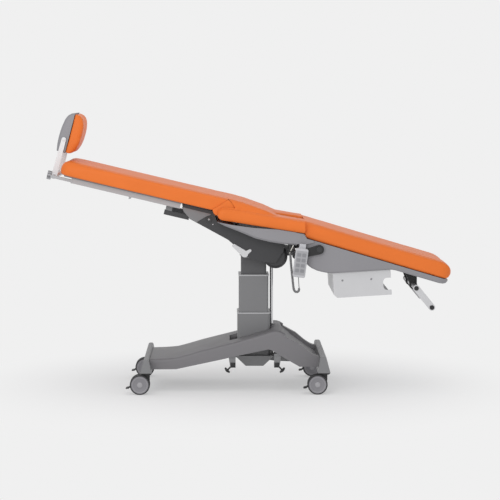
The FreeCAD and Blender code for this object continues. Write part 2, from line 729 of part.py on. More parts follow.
def make_leg_hinge_arms():
    arm = link(CROSS_TUBE, LEG_HINGE, 16.0, LEG_ARM_R, LEG_ARM_INNER, LEG_ARM_INNER + LEG_ARM)
    return pair(arm.cut(rod_y(LEG_HINGE, LEG_PIN_R, 200, 320)))


def make_leg_hinge_pins():
    pin = rod_y(LEG_HINGE, LEG_PIN_R, LEG_SHELL_HALF - 20.0, LEG_ARM_INNER + LEG_ARM)
    head = rod_y(LEG_HINGE, 14.0, LEG_ARM_INNER + LEG_ARM, LEG_ARM_INNER + LEG_ARM + 3.0)
    return pair(join(pin, head))


# Back section, drawn level from its hinge and then raised to its slope

def make_back_pad():
    u0, u1, n0, n1 = BACK_PAD
    pad = block(u0, u1 + 30, -PAD_HALF, PAD_HALF, n0, n1)
    corners = [edge for edge in edges_along(pad, AXIS_Z) if edge.BoundBox.XMax < 0]
    pad = pad.makeFillet(50.0, corners)
    top = [edge for edge in pad.Edges if edge.BoundBox.ZMin > n1 - 0.1 and edge.BoundBox.XMin < u1]
    pad = pad.makeChamfer(12.0, top)
    low = [edge for edge in pad.Edges if edge.BoundBox.ZMax < n0 + 0.1 and edge.BoundBox.XMin < u1]
    pad = pad.makeChamfer(6.0, low)
    mitre = slab([(u1, n1 + 1), (0, n0 - 0.5), (0, n0 - 10), (u1 + 60, n0 - 10), (u1 + 60, n1 + 1)],
                 -400, 400)
    return place(pad.cut(mitre), BACK_HINGE, BACK_SLOPE)


def make_back_frame():
    wide = block(-748, RAIL[1] + 2.0, -240, 240, BOARD[0], BOARD[1])
    narrow = block(RAIL[1], 0, -190, 190, BOARD[0], BOARD[1])
    pieces = [wide, narrow]
    for sign in (-1, 1):
        low, high = sorted((sign * 119.0, sign * 129.0))
        lug = join(slab([(-70, BOARD[0] + 1), (-22, -4), (22, -4), (12, BOARD[0] + 1)], low, high),
                   rod_y((0, 0), 22.0, low, high))
        pieces.append(lug)
        low, high = sorted((sign * 165.0, sign * 190.0))
        pieces.append(block(-222, -190, low, high, -3.0, 24.0))
    for u in (-222.0, -690.0):
        pieces.append(block(u, u + 32.0, -RAIL_INNER, RAIL_INNER, BOARD[0] - RAIL_HEIGHT, BOARD[0]))
    frame = join(*pieces)
    frame = frame.cut(rod_y((0, 0), BACK_PIN_R + RUN, -200, 200))
    return place(frame, BACK_HINGE, BACK_SLOPE)


def make_side_rails():
    top = BOARD[0]
    rail = block(RAIL[0], RAIL[1], RAIL_INNER, RAIL_INNER + RAIL_WIDTH, top - RAIL_HEIGHT, top)
    bore = block(RAIL[0] - 1, RAIL[1] - 20, RAIL_INNER + RAIL_WALL, RAIL_INNER + RAIL_WIDTH - RAIL_WALL,
                 top - RAIL_HEIGHT + RAIL_WALL, top - RAIL_WALL)
    collar_ring = block(RAIL[0] - 6.0, RAIL[0], RAIL_INNER - 1.0, RAIL_INNER + RAIL_WIDTH + 1.0,
                        top - RAIL_HEIGHT - 1.0, top)
    collar_ring = collar_ring.cut(bore).cut(block(RAIL[0] - 7, RAIL[0], RAIL_INNER + RAIL_WALL,
                                                  RAIL_INNER + RAIL_WIDTH - RAIL_WALL,
                                                  top - RAIL_HEIGHT + RAIL_WALL, top - RAIL_WALL))
    hook = slab([(-412, top - RAIL_HEIGHT + 1), (-400, top - RAIL_HEIGHT + 1), (-400, top - RAIL_HEIGHT - 6),
                 (-408, top - RAIL_HEIGHT - 12), (-412, top - RAIL_HEIGHT - 12)], 214, 226)
    rail = join(rail.cut(bore), collar_ring, hook)
    return place(pair(rail), BACK_HINGE, BACK_SLOPE)


# Headrest

def make_headrest_slide():
    low = BOARD[0] - RAIL_HEIGHT + RAIL_WALL + SLIDE
    inner_y = RAIL_INNER + RAIL_WALL + SLIDE
    outer_y = RAIL_INNER + RAIL_WIDTH - RAIL_WALL - SLIDE
    rod = block(HEAD_TUBE_U - 10.0, -460.0, inner_y, outer_y, low, low + 14.0)
    cross = rod_y((HEAD_TUBE_U, HEAD_TUBE_N), HEAD_TUBE_R, -outer_y, outer_y)
    return place(join(cross, rod, mirrored(rod)), BACK_HINGE, BACK_SLOPE)


def head_tube_centre():
    return point_at(BACK_HINGE, BACK_SLOPE, HEAD_TUBE_U, HEAD_TUBE_N)


def make_headrest_arms():
    foot = head_tube_centre()
    pieces = []
    for sign in (-1, 1):
        low, high = sorted((sign * ARM_INNER, sign * (ARM_INNER + ARM)))
        pieces.append(link(foot, HEAD_PIVOT, HUB_R, ARM_R, low, high))
    sleeve = rod_y(foot, HUB_R, -ARM_INNER - ARM, ARM_INNER + ARM)
    arms = join(sleeve, pieces[0], pieces[1])
    arms = arms.cut(rod_y(foot, HEAD_TUBE_R + RUN, -250, 250))
    arms = arms.cut(rod_y(HEAD_PIVOT, HEAD_PIN_R + RUN, -250, 250))
    return arms.cut(knob_shaft(4.0 + RUN, HEAD_TUBE_U - HUB_R - 4.0))


def knob_shaft(radius, start):
    shaft = Part.makeCylinder(radius, HEAD_TUBE_U - HEAD_TUBE_R + 1.0 - start,
                              Vector(start, -ARM_INNER - ARM / 2, HEAD_TUBE_N), Vector(1, 0, 0))
    return place(shaft, BACK_HINGE, BACK_SLOPE)


def make_clamp_knob():
    """A lobed knob whose screw presses the arms' sleeve on to the cross tube."""
    start = HEAD_TUBE_U - HUB_R - 0.5
    centre = Vector(start, -ARM_INNER - ARM / 2, HEAD_TUBE_N)
    grip = Part.makeCylinder(KNOB_R, KNOB_LENGTH, centre, Vector(-1, 0, 0))
    lobes = 5
    for index in range(lobes):
        angle = 2 * math.pi * index / lobes
        reach = KNOB_R + 4.0
        offset = Vector(1, reach * math.cos(angle), reach * math.sin(angle))
        grip = grip.cut(Part.makeCylinder(9.0, KNOB_LENGTH + 2, centre + offset, Vector(-1, 0, 0)))
    screw = Part.makeCylinder(4.0, HUB_R - HEAD_TUBE_R + 1.4, centre + Vector(-1, 0, 0), Vector(1, 0, 0))
    return place(join(grip, screw), BACK_HINGE, BACK_SLOPE)


def make_headrest_shell():
    back = [(-29, -65), (-36, 0), (-33, 62), (-26, 96), (-12, 122), (3, 134)]
    outline = [(21.3, 140), (21.3, -66)] + back
    body, hollow = open_shell(outline, HEAD_HALF, 4.0, (8.0, 0), (9.0, 0))
    body = body.makeChamfer(9.0, side_edges_along(body, HEAD_HALF, back)).cut(hollow)
    pins = rod_y((0, 0), HEAD_PIN_R, HEAD_HALF - 2.0, ARM_INNER + ARM + 0.5)
    head = rod_y((0, 0), 9.0, ARM_INNER + ARM + 0.3, ARM_INNER + ARM + 3.0)
    return place(join(body, pins, mirrored(pins), head, mirrored(head)), HEAD_PIVOT, HEAD_SLOPE)


def make_headrest_pad():
    front = [(50, -66), (66, -54), (74, -36), (84, 0), (86, 40), (82, 98), (74, 122), (58, 136)]
    body = push_out(outline_face(front + [(21.8, 140), (21.8, -66)]), HEAD_HALF + 2.0)
    body = body.makeChamfer(9.0, side_edges_along(body, HEAD_HALF + 2.0, front))
    return place(body, HEAD_PIVOT, HEAD_SLOPE)


# Leg section, drawn level from its hinge and then lowered to its slope

def make_leg_pad():
    u1, n0, n1 = LEG_PAD
    pad = block(-130, u1, -PAD_HALF, PAD_HALF, n0, n1)
    corners = [edge for edge in edges_along(pad, AXIS_Z) if edge.BoundBox.XMin > 0]
    pad = pad.makeFillet(60.0, corners)
    top = [edge for edge in pad.Edges if edge.BoundBox.ZMin > n1 - 0.1 and edge.BoundBox.XMax > -120]
    pad = pad.makeChamfer(14.0, top)
    low = [edge for edge in pad.Edges if edge.BoundBox.ZMax < n0 + 0.1 and edge.BoundBox.XMax > -120]
    pad = pad.makeChamfer(7.0, low)
    pad = place(pad, LEG_HINGE, LEG_SLOPE)
    return pad.cut(block(0, LEG_FRONT_X, -400, 400, 600, 1100))


def leg_shell_line():
    """The underside, from the nose back to the hinge end."""
    return [(648, 24), (640, 15), (626, 9), (607, LEG_SHELL_FLAT), (378, LEG_SHELL_FLAT), (95, -97),
            (58, -103), (20, -105), (-7, -101), (-32, -92), (-51, -77), (-66, -58), (-78, -33), (-83, -10)]


def make_leg_shell():
    top = LEG_PAD[1] - SEAT_GAP
    line = leg_shell_line()
    outline = [(-80, top), (650, top)] + line
    outer, hollow = open_shell(outline, LEG_SHELL_HALF, LEG_SHELL_WALL, (0, 2 * LEG_SHELL_WALL),
                               (LEG_SHELL_EDGE, LEG_SHELL_EDGE))
    outer = outer.makeChamfer(LEG_SHELL_EDGE, side_edges_along(outer, LEG_SHELL_HALF, line))
    shell = outer.cut(hollow)
    bosses = []
    for sign in (-1, 1):
        low, high = sorted((sign * (LEG_SHELL_HALF - 24.0), sign * LEG_SHELL_HALF))
        bosses.append(rod_y((0, 0), 18.0, low, high))
        low, high = sorted((sign * (LEG_SHELL_HALF - 26.0), sign * (LEG_SHELL_HALF - 1.0)))
        bosses.append(block(-16, 16, low, high, -100, 4))
    shell = join(shell, *bosses)
    shell = shell.common(outer)
    shell = shell.cut(rod_y((0, 0), LEG_PIN_R + RUN, -400, 400))
    return place(shell, LEG_HINGE, LEG_SLOPE)


def make_accessory_box():
    """Sheet-metal box, open at the foot end, with a notch in both sides."""
    x0, x1 = 4.0, 4.0 + BOX_LENGTH
    low = -BOX_HEIGHT
    corner = 16.0
    outline = [(x0, 0), (x0, low + corner), (x0 + corner, low), (x1, low), (x1, 0)]
    outer = slab(outline, -BOX_HALF, BOX_HALF)
    inset = [(x0 + SHEET, 10), (x0 + SHEET, low + corner + 1.0), (x0 + corner + 1.0, low + SHEET),
             (x1 + 10, low + SHEET), (x1 + 10, 10)]
    box = outer.cut(slab(inset, -BOX_HALF + SHEET, BOX_HALF - SHEET))
    notch = block(x1 - 40, x1 + 10, -BOX_HALF - 5, BOX_HALF + 5, low + 25, low + 85)
    notch = notch.makeFillet(20.0, [edge for edge in edges_along(notch, AXIS_Y) if edge.BoundBox.XMax < x1])
    box = box.cut(notch)
    flange = block(x0 + SHEET - 1.0, x1 - 30, BOX_HALF - 20.0, BOX_HALF - SHEET + 1.0, -SHEET, 0)
    box = join(box, flange, mirrored(flange))
    return place(box, BOX_ORIGIN, BOX_SLOPE)


def foot_pivot_local():
    angle = math.radians(LEG_SLOPE)
    dx, dz = FOOT_PIVOT[0] - LEG_HINGE[0], FOOT_PIVOT[1] - LEG_HINGE[1]
    return (dx * math.cos(angle) - dz * math.sin(angle), dx * math.sin(angle) + dz * math.cos(angle))


def make_foot_brackets():
    u, n = foot_pivot_local()
    ears = []
    for sign in (-1, 1):
        low, high = sorted((sign * FOOT_BRACKET_Y, sign * (FOOT_BRACKET_Y + FOOT_BRACKET)))
        ear = join(slab([(u - 62, LEG_SHELL_FLAT), (u + 2, LEG_SHELL_FLAT), (u + 19, n), (u - 19, n)],
                        low, high),
                   rod_y((u, n), 20.0, low, high))
        ears.append(ear.cut(rod_y((u, n), FOOT_TUBE_R + RUN, -300, 300)))
    foot = Part.makeCompound(ears)
    return place(foot, LEG_HINGE, LEG_SLOPE)


def make_foot_bar():
    tube_body = rod_y(FOOT_PIVOT, FOOT_TUBE_R, -FOOT_HALF, FOOT_HALF)
    grip = rod_y(FOOT_GRIP, FOOT_TUBE_R, 115.0, FOOT_HALF)
    run = Vector(FOOT_GRIP[0] - FOOT_PIVOT[0], 0, FOOT_GRIP[1] - FOOT_PIVOT[1]).normalize() * (FOOT_TUBE_R - 1.5)
    side = slab([(FOOT_PIVOT[0] - run.z, FOOT_PIVOT[1] + run.x), (FOOT_GRIP[0] - run.z, FOOT_GRIP[1] + run.x),
                 (FOOT_GRIP[0] + run.z, FOOT_GRIP[1] - run.x), (FOOT_PIVOT[0] + run.z, FOOT_PIVOT[1] - run.x)],
                226.0, FOOT_HALF - 1.0)
    return join(tube_body, grip, mirrored(grip), side, mirrored(side))


def make_foot_bar_caps():
    caps = []
    for centre in (FOOT_PIVOT, FOOT_GRIP):
        cap = rod_y(centre, FOOT_TUBE_R - 1.0, FOOT_HALF, FOOT_HALF + FOOT_CAP)
        caps.extend([cap, mirrored(cap)])
    return Part.makeCompound(caps)


# Handset, its keys and its cord

def key_places():
    places = []
    for row in range(4):
        for column in range(2):
            x = (column - 0.5) * KEY_PITCH_X
            z = (1.5 - row) * KEY_PITCH_Z + 1.0
            places.append((x, z))
    return places


def key_block(x, z, grow, front, back):
    return block(x - KEY_WIDTH / 2 - grow, x + KEY_WIDTH / 2 + grow, front, back,
                 z - KEY_HEIGHT / 2 - grow, z + KEY_HEIGHT / 2 + grow)


def make_handset():
    body = block(-HANDSET_HALF, HANDSET_HALF, HANDSET_FRONT, HANDSET_BACK,
                 -HANDSET_HALF_HEIGHT, HANDSET_HALF_HEIGHT)
    body = body.makeFillet(9.0, edges_along(body, AXIS_Y))
    body = body.makeChamfer(3.0, side_edges_at(body, HANDSET_FRONT))
    for x, z in key_places():
        body = body.cut(key_block(x, z, SLIDE, HANDSET_FRONT - 1, HANDSET_FRONT + KEY_DEPTH))
    stem = block(-16, 16, HANDSET_BACK - 6.0, HANDSET_BACK, HANDSET_HALF_HEIGHT - 4.0, HANDSET_HALF_HEIGHT + 22.0)
    hook = block(-16, 16, HANDSET_BACK - 6.0, -SHELL_HALF - SLIDE, HANDSET_HALF_HEIGHT + 18.0,
                 HANDSET_HALF_HEIGHT + 22.0)
    return place(join(body, stem, hook), HANDSET, HANDSET_SLOPE)


def side_edges_at(shape, y):
    return [edge for edge in shape.Edges if edge.BoundBox.YLength < 0.001 and abs(edge.BoundBox.YMin - y) < 0.001]


def make_key(x, z):
    key = key_block(x, z, 0.0, HANDSET_FRONT - KEY_PROUD, HANDSET_FRONT + KEY_DEPTH - 1.5)
    key = key.makeChamfer(2.0, edges_along(key, AXIS_Y))
    return place(key, HANDSET, HANDSET_SLOPE)


def cord_path(route):
    """Straight runs joined by tangent arcs, each as large as its two runs allow."""
    points = [Vector(*point) for point in route]
    edges = []
    radii = []
    start = points[0]
    for before, corner, after in zip(points, points[1:], points[2:]):
        back = (before - corner).normalize()
        ahead = (after - corner).normalize()
        shorter = min((before - corner).Length, (after - corner).Length)
        half_turn = (math.pi - back.getAngle(ahead)) / 2
        cut = 0.45 * shorter
        radius = cut / math.tan(half_turn)
        radii.append(radius)
        arc_start = corner + back * cut
        arc_end = corner + ahead * cut
        middle = (back + ahead).normalize()
        centre = corner + middle * (radius / math.cos(half_turn))
        arc_middle = centre - middle * radius
        edges.append(Part.LineSegment(start, arc_start).toShape())
        edges.append(Part.Arc(arc_start, arc_middle, arc_end).toShape())
        start = arc_end
    edges.append(Part.LineSegment(start, points[-1]).toShape())
    return Part.Wire(edges), radii


def make_cord(label, route, radius):
    path, radii = cord_path(route)
    points = [Vector(*point) for point in route[:2]]
    ring = Part.makeCircle(radius, points[0], points[1] - points[0])
    section = Part.makePolygon(ring.discretize(CORD_SIDES + 1))
    cord = path.makePipeShell([section], True, False, 1)
    print(label, "length", round(path.Length, 1), "smallest radius", round(min(radii), 1),
          "volume", round(cord.Volume, 1))
    return cord


def make_cord_gland():
    """The gland under the seat shell that the cord comes out of, pointing along the cord's last run."""
    end = Vector(*CURL_ROUTE[-1])
    direction = (end - Vector(*CURL_ROUTE[-2])).normalize()
    body = Part.makeCylinder(CURL_R + 1.0, 26.0, end, direction)
    nut = Part.makePolygon(Part.makeCircle(CURL_R + 4.0, end + direction * 20.0, direction).discretize(7))
    nut = Part.Face(nut).extrude(direction * 30.0)
    gland = join(body, nut)
    line = shell_bottom()
    above = slab(line + [(line[-1][0], 900), (line[0][0], 900)], -400, 400)
    return gland.cut(above)


def all_pieces():
    pieces = {
        "base_frame": make_base_frame(),
        "base_cover": make_base_cover(),
        "beam_bumpers": make_beam_bumpers(),
        "switch_bodies": make_switch_bodies(),
        "plunger_head_side": make_plunger(SWITCH_X[0], -1),
        "plunger_foot_side": make_plunger(SWITCH_X[1], 1),
        "column_outer": make_column_outer(),
        "column_middle": tube(MIDDLE, MIDDLE_BOTTOM, MIDDLE_TOP),
        "column_inner": make_column_inner(),
        "collar_outer": collar(OUTER, MIDDLE, OUTER_TOP),
        "collar_middle": collar(MIDDLE, INNER, MIDDLE_TOP),
        "lift_drive": make_lift_drive(),
        "guide_rod": make_guide_rod(),
        "head_bracket": make_head_bracket(),
        "tilt_pins": make_tilt_pins(),
        "chassis_frame": make_chassis_frame(),
        "arm_casing": make_arm_casing(),
        "back_hinge_pin": make_back_hinge_pin(),
        "seat_shell": make_seat_shell(),
        "seat_pad": make_seat_pad(),
        "leg_hinge_arms": make_leg_hinge_arms(),
        "leg_hinge_pins": make_leg_hinge_pins(),
        "back_frame": make_back_frame(),
        "side_rails": make_side_rails(),
        "back_pad": make_back_pad(),
        "headrest_slide": make_headrest_slide(),
        "headrest_arms": make_headrest_arms(),
        "clamp_knob": make_clamp_knob(),
        "headrest_shell": make_headrest_shell(),
        "headrest_pad": make_headrest_pad(),
        "leg_shell": make_leg_shell(),
        "leg_pad": make_leg_pad(),
        "accessory_box": make_accessory_box(),
        "foot_brackets": make_foot_brackets(),
        "foot_bar": make_foot_bar(),
        "foot_bar_caps": make_foot_bar_caps(),
        "handset": make_handset(),
        "cord_lead": make_cord("lead", LEAD_ROUTE, LEAD_R),
        "cord_curl": make_cord("curl", CURL_ROUTE, CURL_R),
        "cord_gland": make_cord_gland(),
    }
    for number, (x, z) in enumerate(key_places(), start=1):
        pieces["key_%d" % number] = make_key(x, z)
    corners = (("head_near", HEAD_STEM_X, -1), ("head_far", HEAD_STEM_X, 1),
               ("foot_near", FOOT_STEM_X, -1), ("foot_far", FOOT_STEM_X, 1))
    for corner, stem_x, side in corners:
        housing, wheels, pedal = castor_parts(stem_x, side)
        pieces["castor_housing_" + corner] = housing
        pieces["castor_wheels_" + corner] = wheels
        pieces["castor_pedal_" + corner] = pedal
    return pieces


os.makedirs("parts", exist_ok=True)
for name, shape in all_pieces().items():
    shape.translate(Vector(COLUMN_X, 0, 0))
    shape.exportStep("parts/" + name + ".step")
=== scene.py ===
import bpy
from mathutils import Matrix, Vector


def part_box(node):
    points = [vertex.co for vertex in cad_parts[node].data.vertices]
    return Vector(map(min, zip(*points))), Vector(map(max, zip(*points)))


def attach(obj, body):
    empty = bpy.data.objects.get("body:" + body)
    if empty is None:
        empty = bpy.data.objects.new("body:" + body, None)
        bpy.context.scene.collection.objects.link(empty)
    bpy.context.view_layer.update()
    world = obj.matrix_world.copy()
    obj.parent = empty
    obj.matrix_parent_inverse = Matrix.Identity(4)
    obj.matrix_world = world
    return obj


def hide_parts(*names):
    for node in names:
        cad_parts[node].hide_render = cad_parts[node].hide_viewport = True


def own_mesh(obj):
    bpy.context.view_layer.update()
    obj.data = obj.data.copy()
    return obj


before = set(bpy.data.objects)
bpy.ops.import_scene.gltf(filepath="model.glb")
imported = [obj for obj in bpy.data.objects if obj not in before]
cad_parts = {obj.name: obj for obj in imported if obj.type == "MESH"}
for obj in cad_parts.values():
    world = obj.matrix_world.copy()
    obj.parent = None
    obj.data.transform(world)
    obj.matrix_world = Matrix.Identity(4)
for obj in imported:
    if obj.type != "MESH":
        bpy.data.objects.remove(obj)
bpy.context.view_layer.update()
import bpy
import bmesh
import math
from mathutils import Vector

# Camera: a long lens almost ten metres off, a little above the table and square on to its side.
# It looks down by about five degrees, so that the floor shows under the castors.
CAMERA_PLACE = (-0.120, -9.6, 1.510)
CAMERA_TURN = (math.radians(85.14), 0, math.radians(-0.761))
LENS = 136.0
SENSOR_WIDTH = 36.0
VIEW_END = 60.0
scene = bpy.context.scene
scene.view_settings.view_transform = "Standard"
bpy.ops.object.select_all(action="DESELECT")
bpy.ops.object.camera_add(location=CAMERA_PLACE, rotation=CAMERA_TURN)
camera = bpy.context.object
camera.data.lens = LENS
camera.data.sensor_width = SENSOR_WIDTH
camera.data.clip_end = VIEW_END
scene.camera = camera

# Handset cord: grey PVC. A thin lead hangs from the handset, turns up in a small loop and goes on
# as a curly cord to the gland under the seat. The curls are a helix wound round that route.
LEAD_ROUTE = ((0.2425, -0.3185, 0.585), (0.2439, -0.3185, 0.561), (0.2455, -0.3185, 0.537))
CURL_ROUTE = ((0.2455, -0.3185, 0.537), (0.24663, -0.3185, 0.520), (0.2392, -0.3165, 0.512),
              (0.2284, -0.3115, 0.5115), (0.2208, -0.3065, 0.5195), (0.2175, -0.3020, 0.541),
              (0.2135, -0.2985, 0.580), (0.2080, -0.2965, 0.632), (0.2045, -0.2930, 0.672),
              (0.2030, -0.2900, 0.706))
CORD_THICK = 0.0042
CURL_RADIUS = 0.0043
CURL_PITCH = 0.0048
CURL_OPENING = 0.010
POINTS_PER_TURN = 16
LEAD_STEPS = 12
CURL_STEPS = 24


def add_spline(line, route):
    """Draw one smooth open NURBS line through a route."""
    spline = line.splines.new("NURBS")
    spline.points.add(len(route) - 1)
    for point, place in zip(spline.points, route):
        point.co = (*place, 1)
    spline.order_u = 3
    spline.use_endpoint_u = True


def spline_points(name, route, steps):
    """The points that a smooth NURBS line through the route gives."""
    line = bpy.data.curves.new(name, "CURVE")
    line.dimensions = "3D"
    line.resolution_u = steps
    add_spline(line, route)
    holder = bpy.data.objects.new(name, line)
    mesh = bpy.data.meshes.new_from_object(holder)
    points = [vertex.co.copy() for vertex in mesh.vertices]
    bpy.data.objects.remove(holder)
    bpy.data.curves.remove(line)
    bpy.data.meshes.remove(mesh)
    return points


def wind(points, radius, pitch, steps):
    """Points on a helix round a line, starting and ending on the line itself."""
    lengths = [0.0]
    for before, after in zip(points, points[1:]):
        lengths.append(lengths[-1] + (after - before).length)
    count = int(lengths[-1] / pitch * steps)
    side = Vector((1, 0, 0))
    wound = []
    turn = 0.0
    index = 0
    for number in range(count + 1):
        along = lengths[-1] * number / count
        while index < len(points) - 2 and lengths[index + 1] < along:
            index += 1
        run = points[index + 1] - points[index]
        share = (along - lengths[index]) / max(run.length, 1e-9)
        run.normalize()
        side = (side - run * side.dot(run)).normalized()
        other = run.cross(side)
        ease = min(1.0, along / CURL_OPENING, (lengths[-1] - along) / CURL_OPENING)
        turn += 2 * math.pi / steps * ease
        place = points[index].lerp(points[index + 1], share)
        wound.append(place + (side * math.cos(turn) + other * math.sin(turn)) * radius * ease)
    return wound


lead_points = spline_points("lead line", LEAD_ROUTE, LEAD_STEPS)
curl_points = spline_points("curl line", CURL_ROUTE, CURL_STEPS)
cord_points = lead_points[:-1] + wind(curl_points, CURL_RADIUS, CURL_PITCH, POINTS_PER_TURN)
line = bpy.data.curves.new("handset_cord", "CURVE")
line.dimensions = "3D"
line.bevel_depth = CORD_THICK / 2
line.bevel_resolution = 2
line.resolution_u = 2
line.use_fill_caps = True
add_spline(line, cord_points)
cord = bpy.data.objects.new("handset_curly_cord", line)
scene.collection.objects.link(cord)
bpy.ops.object.select_all(action="DESELECT")
cord.select_set(True)
bpy.context.view_layer.objects.active = cord
bpy.ops.object.convert(target="MESH")
cord = bpy.context.object
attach(cord, "chassis")
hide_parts("cord_lead", "cord_curl")

# The grain group belongs to every finish below: slow changes of tone and roughness over a hand's
# breadth, and a fine speckle for the surface relief.
TONE_SCALE = 9.0
TONE_DETAIL = 3.0
SPECKLE_DETAIL = 2.0
ROUGH_SWING = 0.12
GRAIN_DEPTH = 0.0004
fine_grain = bpy.data.node_groups.new("fine grain", "ShaderNodeTree")
for label, kind in (("Place", "NodeSocketVector"), ("Colour", "NodeSocketColor"),
                    ("Tone", "NodeSocketFloat"), ("Rough", "NodeSocketFloat"),
                    ("Grain Size", "NodeSocketFloat")):
    fine_grain.interface.new_socket(label, in_out="INPUT", socket_type=kind)
for label, kind in (("Colour", "NodeSocketColor"), ("Rough", "NodeSocketFloat"),
                    ("Height", "NodeSocketFloat")):
    fine_grain.interface.new_socket(label, in_out="OUTPUT", socket_type=kind)
inward = fine_grain.nodes.new("NodeGroupInput")
outward = fine_grain.nodes.new("NodeGroupOutput")
cloud = fine_grain.nodes.new("ShaderNodeTexNoise")
cloud.inputs["Scale"].default_value = TONE_SCALE
cloud.inputs["Detail"].default_value = TONE_DETAIL
speckle = fine_grain.nodes.new("ShaderNodeTexNoise")
speckle.inputs["Detail"].default_value = SPECKLE_DETAIL
lighter = fine_grain.nodes.new("ShaderNodeMath")
lighter.operation = "SUBTRACT"
lighter.inputs[1].default_value = 0.5
shade = fine_grain.nodes.new("ShaderNodeMath")
shade.operation = "MULTIPLY_ADD"
shade.inputs[2].default_value = 1.0
tint = fine_grain.nodes.new("ShaderNodeVectorMath")
tint.operation = "SCALE"
rougher = fine_grain.nodes.new("ShaderNodeMath")
rougher.operation = "MULTIPLY_ADD"
rougher.inputs[1].default_value = ROUGH_SWING
for start, end in ((inward.outputs["Place"], cloud.inputs["Vector"]),
                   (inward.outputs["Place"], speckle.inputs["Vector"]),
                   (inward.outputs["Grain Size"], speckle.inputs["Scale"]),
                   (cloud.outputs["Fac"], lighter.inputs[0]),
                   (lighter.outputs[0], shade.inputs[0]),
                   (inward.outputs["Tone"], shade.inputs[1]),
                   (inward.outputs["Colour"], tint.inputs[0]),
                   (shade.outputs[0], tint.inputs["Scale"]),
                   (tint.outputs[0], outward.inputs["Colour"]),
                   (lighter.outputs[0], rougher.inputs[0]),
                   (inward.outputs["Rough"], rougher.inputs[2]),
                   (rougher.outputs[0], outward.inputs["Rough"]),
                   (speckle.outputs["Fac"], outward.inputs["Height"])):
    fine_grain.links.new(start, end)


def finish_of(name, colour, rough, metal=0.0, grain=0.0, grain_size=900.0, tone=0.06, gloss=0.4):
    """A finish with fine grain in its surface and slow, faint changes of tone."""
    material = bpy.data.materials.new(name)
    material.use_nodes = True
    nodes = material.node_tree.nodes
    links = material.node_tree.links
    shader = nodes["Principled BSDF"]
    shader.inputs["Roughness"].default_value = rough
    shader.inputs["Metallic"].default_value = metal
    shader.inputs["Specular IOR Level"].default_value = gloss
    place = nodes.new("ShaderNodeTexCoord")
    surface = nodes.new("ShaderNodeGroup")
    surface.node_tree = fine_grain
    surface.inputs["Colour"].default_value = (*colour, 1)
    surface.inputs["Tone"].default_value = tone
    surface.inputs["Rough"].default_value = rough
    surface.inputs["Grain Size"].default_value = grain_size
    links.new(place.outputs["Object"], surface.inputs["Place"])
    links.new(surface.outputs["Colour"], shader.inputs["Base Color"])
    links.new(surface.outputs["Rough"], shader.inputs["Roughness"])
    bump = nodes.new("ShaderNodeBump")
    bump.inputs["Distance"].default_value = GRAIN_DEPTH
    bump.inputs["Strength"].default_value = grain
    links.new(surface.outputs["Height"], bump.inputs["Height"])
    links.new(bump.outputs["Normal"], shader.inputs["Normal"])
    return material


cord_grey = finish_of("grey cord jacket", (0.20, 0.20, 0.205), 0.45, grain=0.1)
cord.data.materials.clear()
cord.data.materials.append(cord_grey)

# Floor and backdrop: a plain pale floor that fades, away from the table, into the even tone of
# the background. The world gives the soft light from all round.
BACKDROP_TONE = (0.871, 0.871, 0.871, 1)
FLOOR_TONE = (0.90, 0.90, 0.90, 1)
SKY_LIGHT = (0.68, 0.68, 0.69, 1)
FLOOR_SIZE = 60
FADE_START = 0.55
FADE_END = 1.55
LEAST_FADE = 0.40
bpy.ops.object.select_all(action="DESELECT")
bpy.ops.mesh.primitive_plane_add(size=FLOOR_SIZE, location=(0, 0, 0))
floor = bpy.context.object
floor.name = "studio_floor"
pale = bpy.data.materials.new("pale studio floor")
pale.use_nodes = True
nodes = pale.node_tree.nodes
links = pale.node_tree.links
matt = nodes["Principled BSDF"]
matt.inputs["Base Color"].default_value = FLOOR_TONE
matt.inputs["Roughness"].default_value = 0.95
matt.inputs["Specular IOR Level"].default_value = 0.0
glow = nodes.new("ShaderNodeEmission")
glow.inputs["Color"].default_value = BACKDROP_TONE
spot = nodes.new("ShaderNodeTexCoord")
reach = nodes.new("ShaderNodeVectorMath")
reach.operation = "LENGTH"
fade = nodes.new("ShaderNodeMapRange")
fade.interpolation_type = "SMOOTHSTEP"
fade.inputs["From Min"].default_value = FADE_START
fade.inputs["From Max"].default_value = FADE_END
fade.inputs["To Min"].default_value = LEAST_FADE
both = nodes.new("ShaderNodeMixShader")
links.new(spot.outputs["Object"], reach.inputs[0])
links.new(reach.outputs["Value"], fade.inputs["Value"])
links.new(fade.outputs["Result"], both.inputs["Fac"])
links.new(matt.outputs["BSDF"], both.inputs[1])
links.new(glow.outputs["Emission"], both.inputs[2])
links.new(both.outputs["Shader"], nodes["Material Output"].inputs["Surface"])
floor.data.materials.append(pale)
world = bpy.data.worlds.new("studio")
scene.world = world
world.use_nodes = True
nodes = world.node_tree.nodes
links = world.node_tree.links
seen = nodes["Background"]
seen.inputs["Color"].default_value = BACKDROP_TONE
around = nodes.new("ShaderNodeBackground")
around.inputs["Color"].default_value = SKY_LIGHT
ray = nodes.new("ShaderNodeLightPath")
either = nodes.new("ShaderNodeMath")
either.operation = "MAXIMUM"
pick_sky = nodes.new("ShaderNodeMixShader")
links.new(ray.outputs["Is Camera Ray"], either.inputs[0])
links.new(ray.outputs["Is Glossy Ray"], either.inputs[1])
links.new(either.outputs[0], pick_sky.inputs["Fac"])
links.new(around.outputs["Background"], pick_sky.inputs[1])
links.new(seen.outputs["Background"], pick_sky.inputs[2])
links.new(pick_sky.outputs["Shader"], nodes["World Output"].inputs["Surface"])

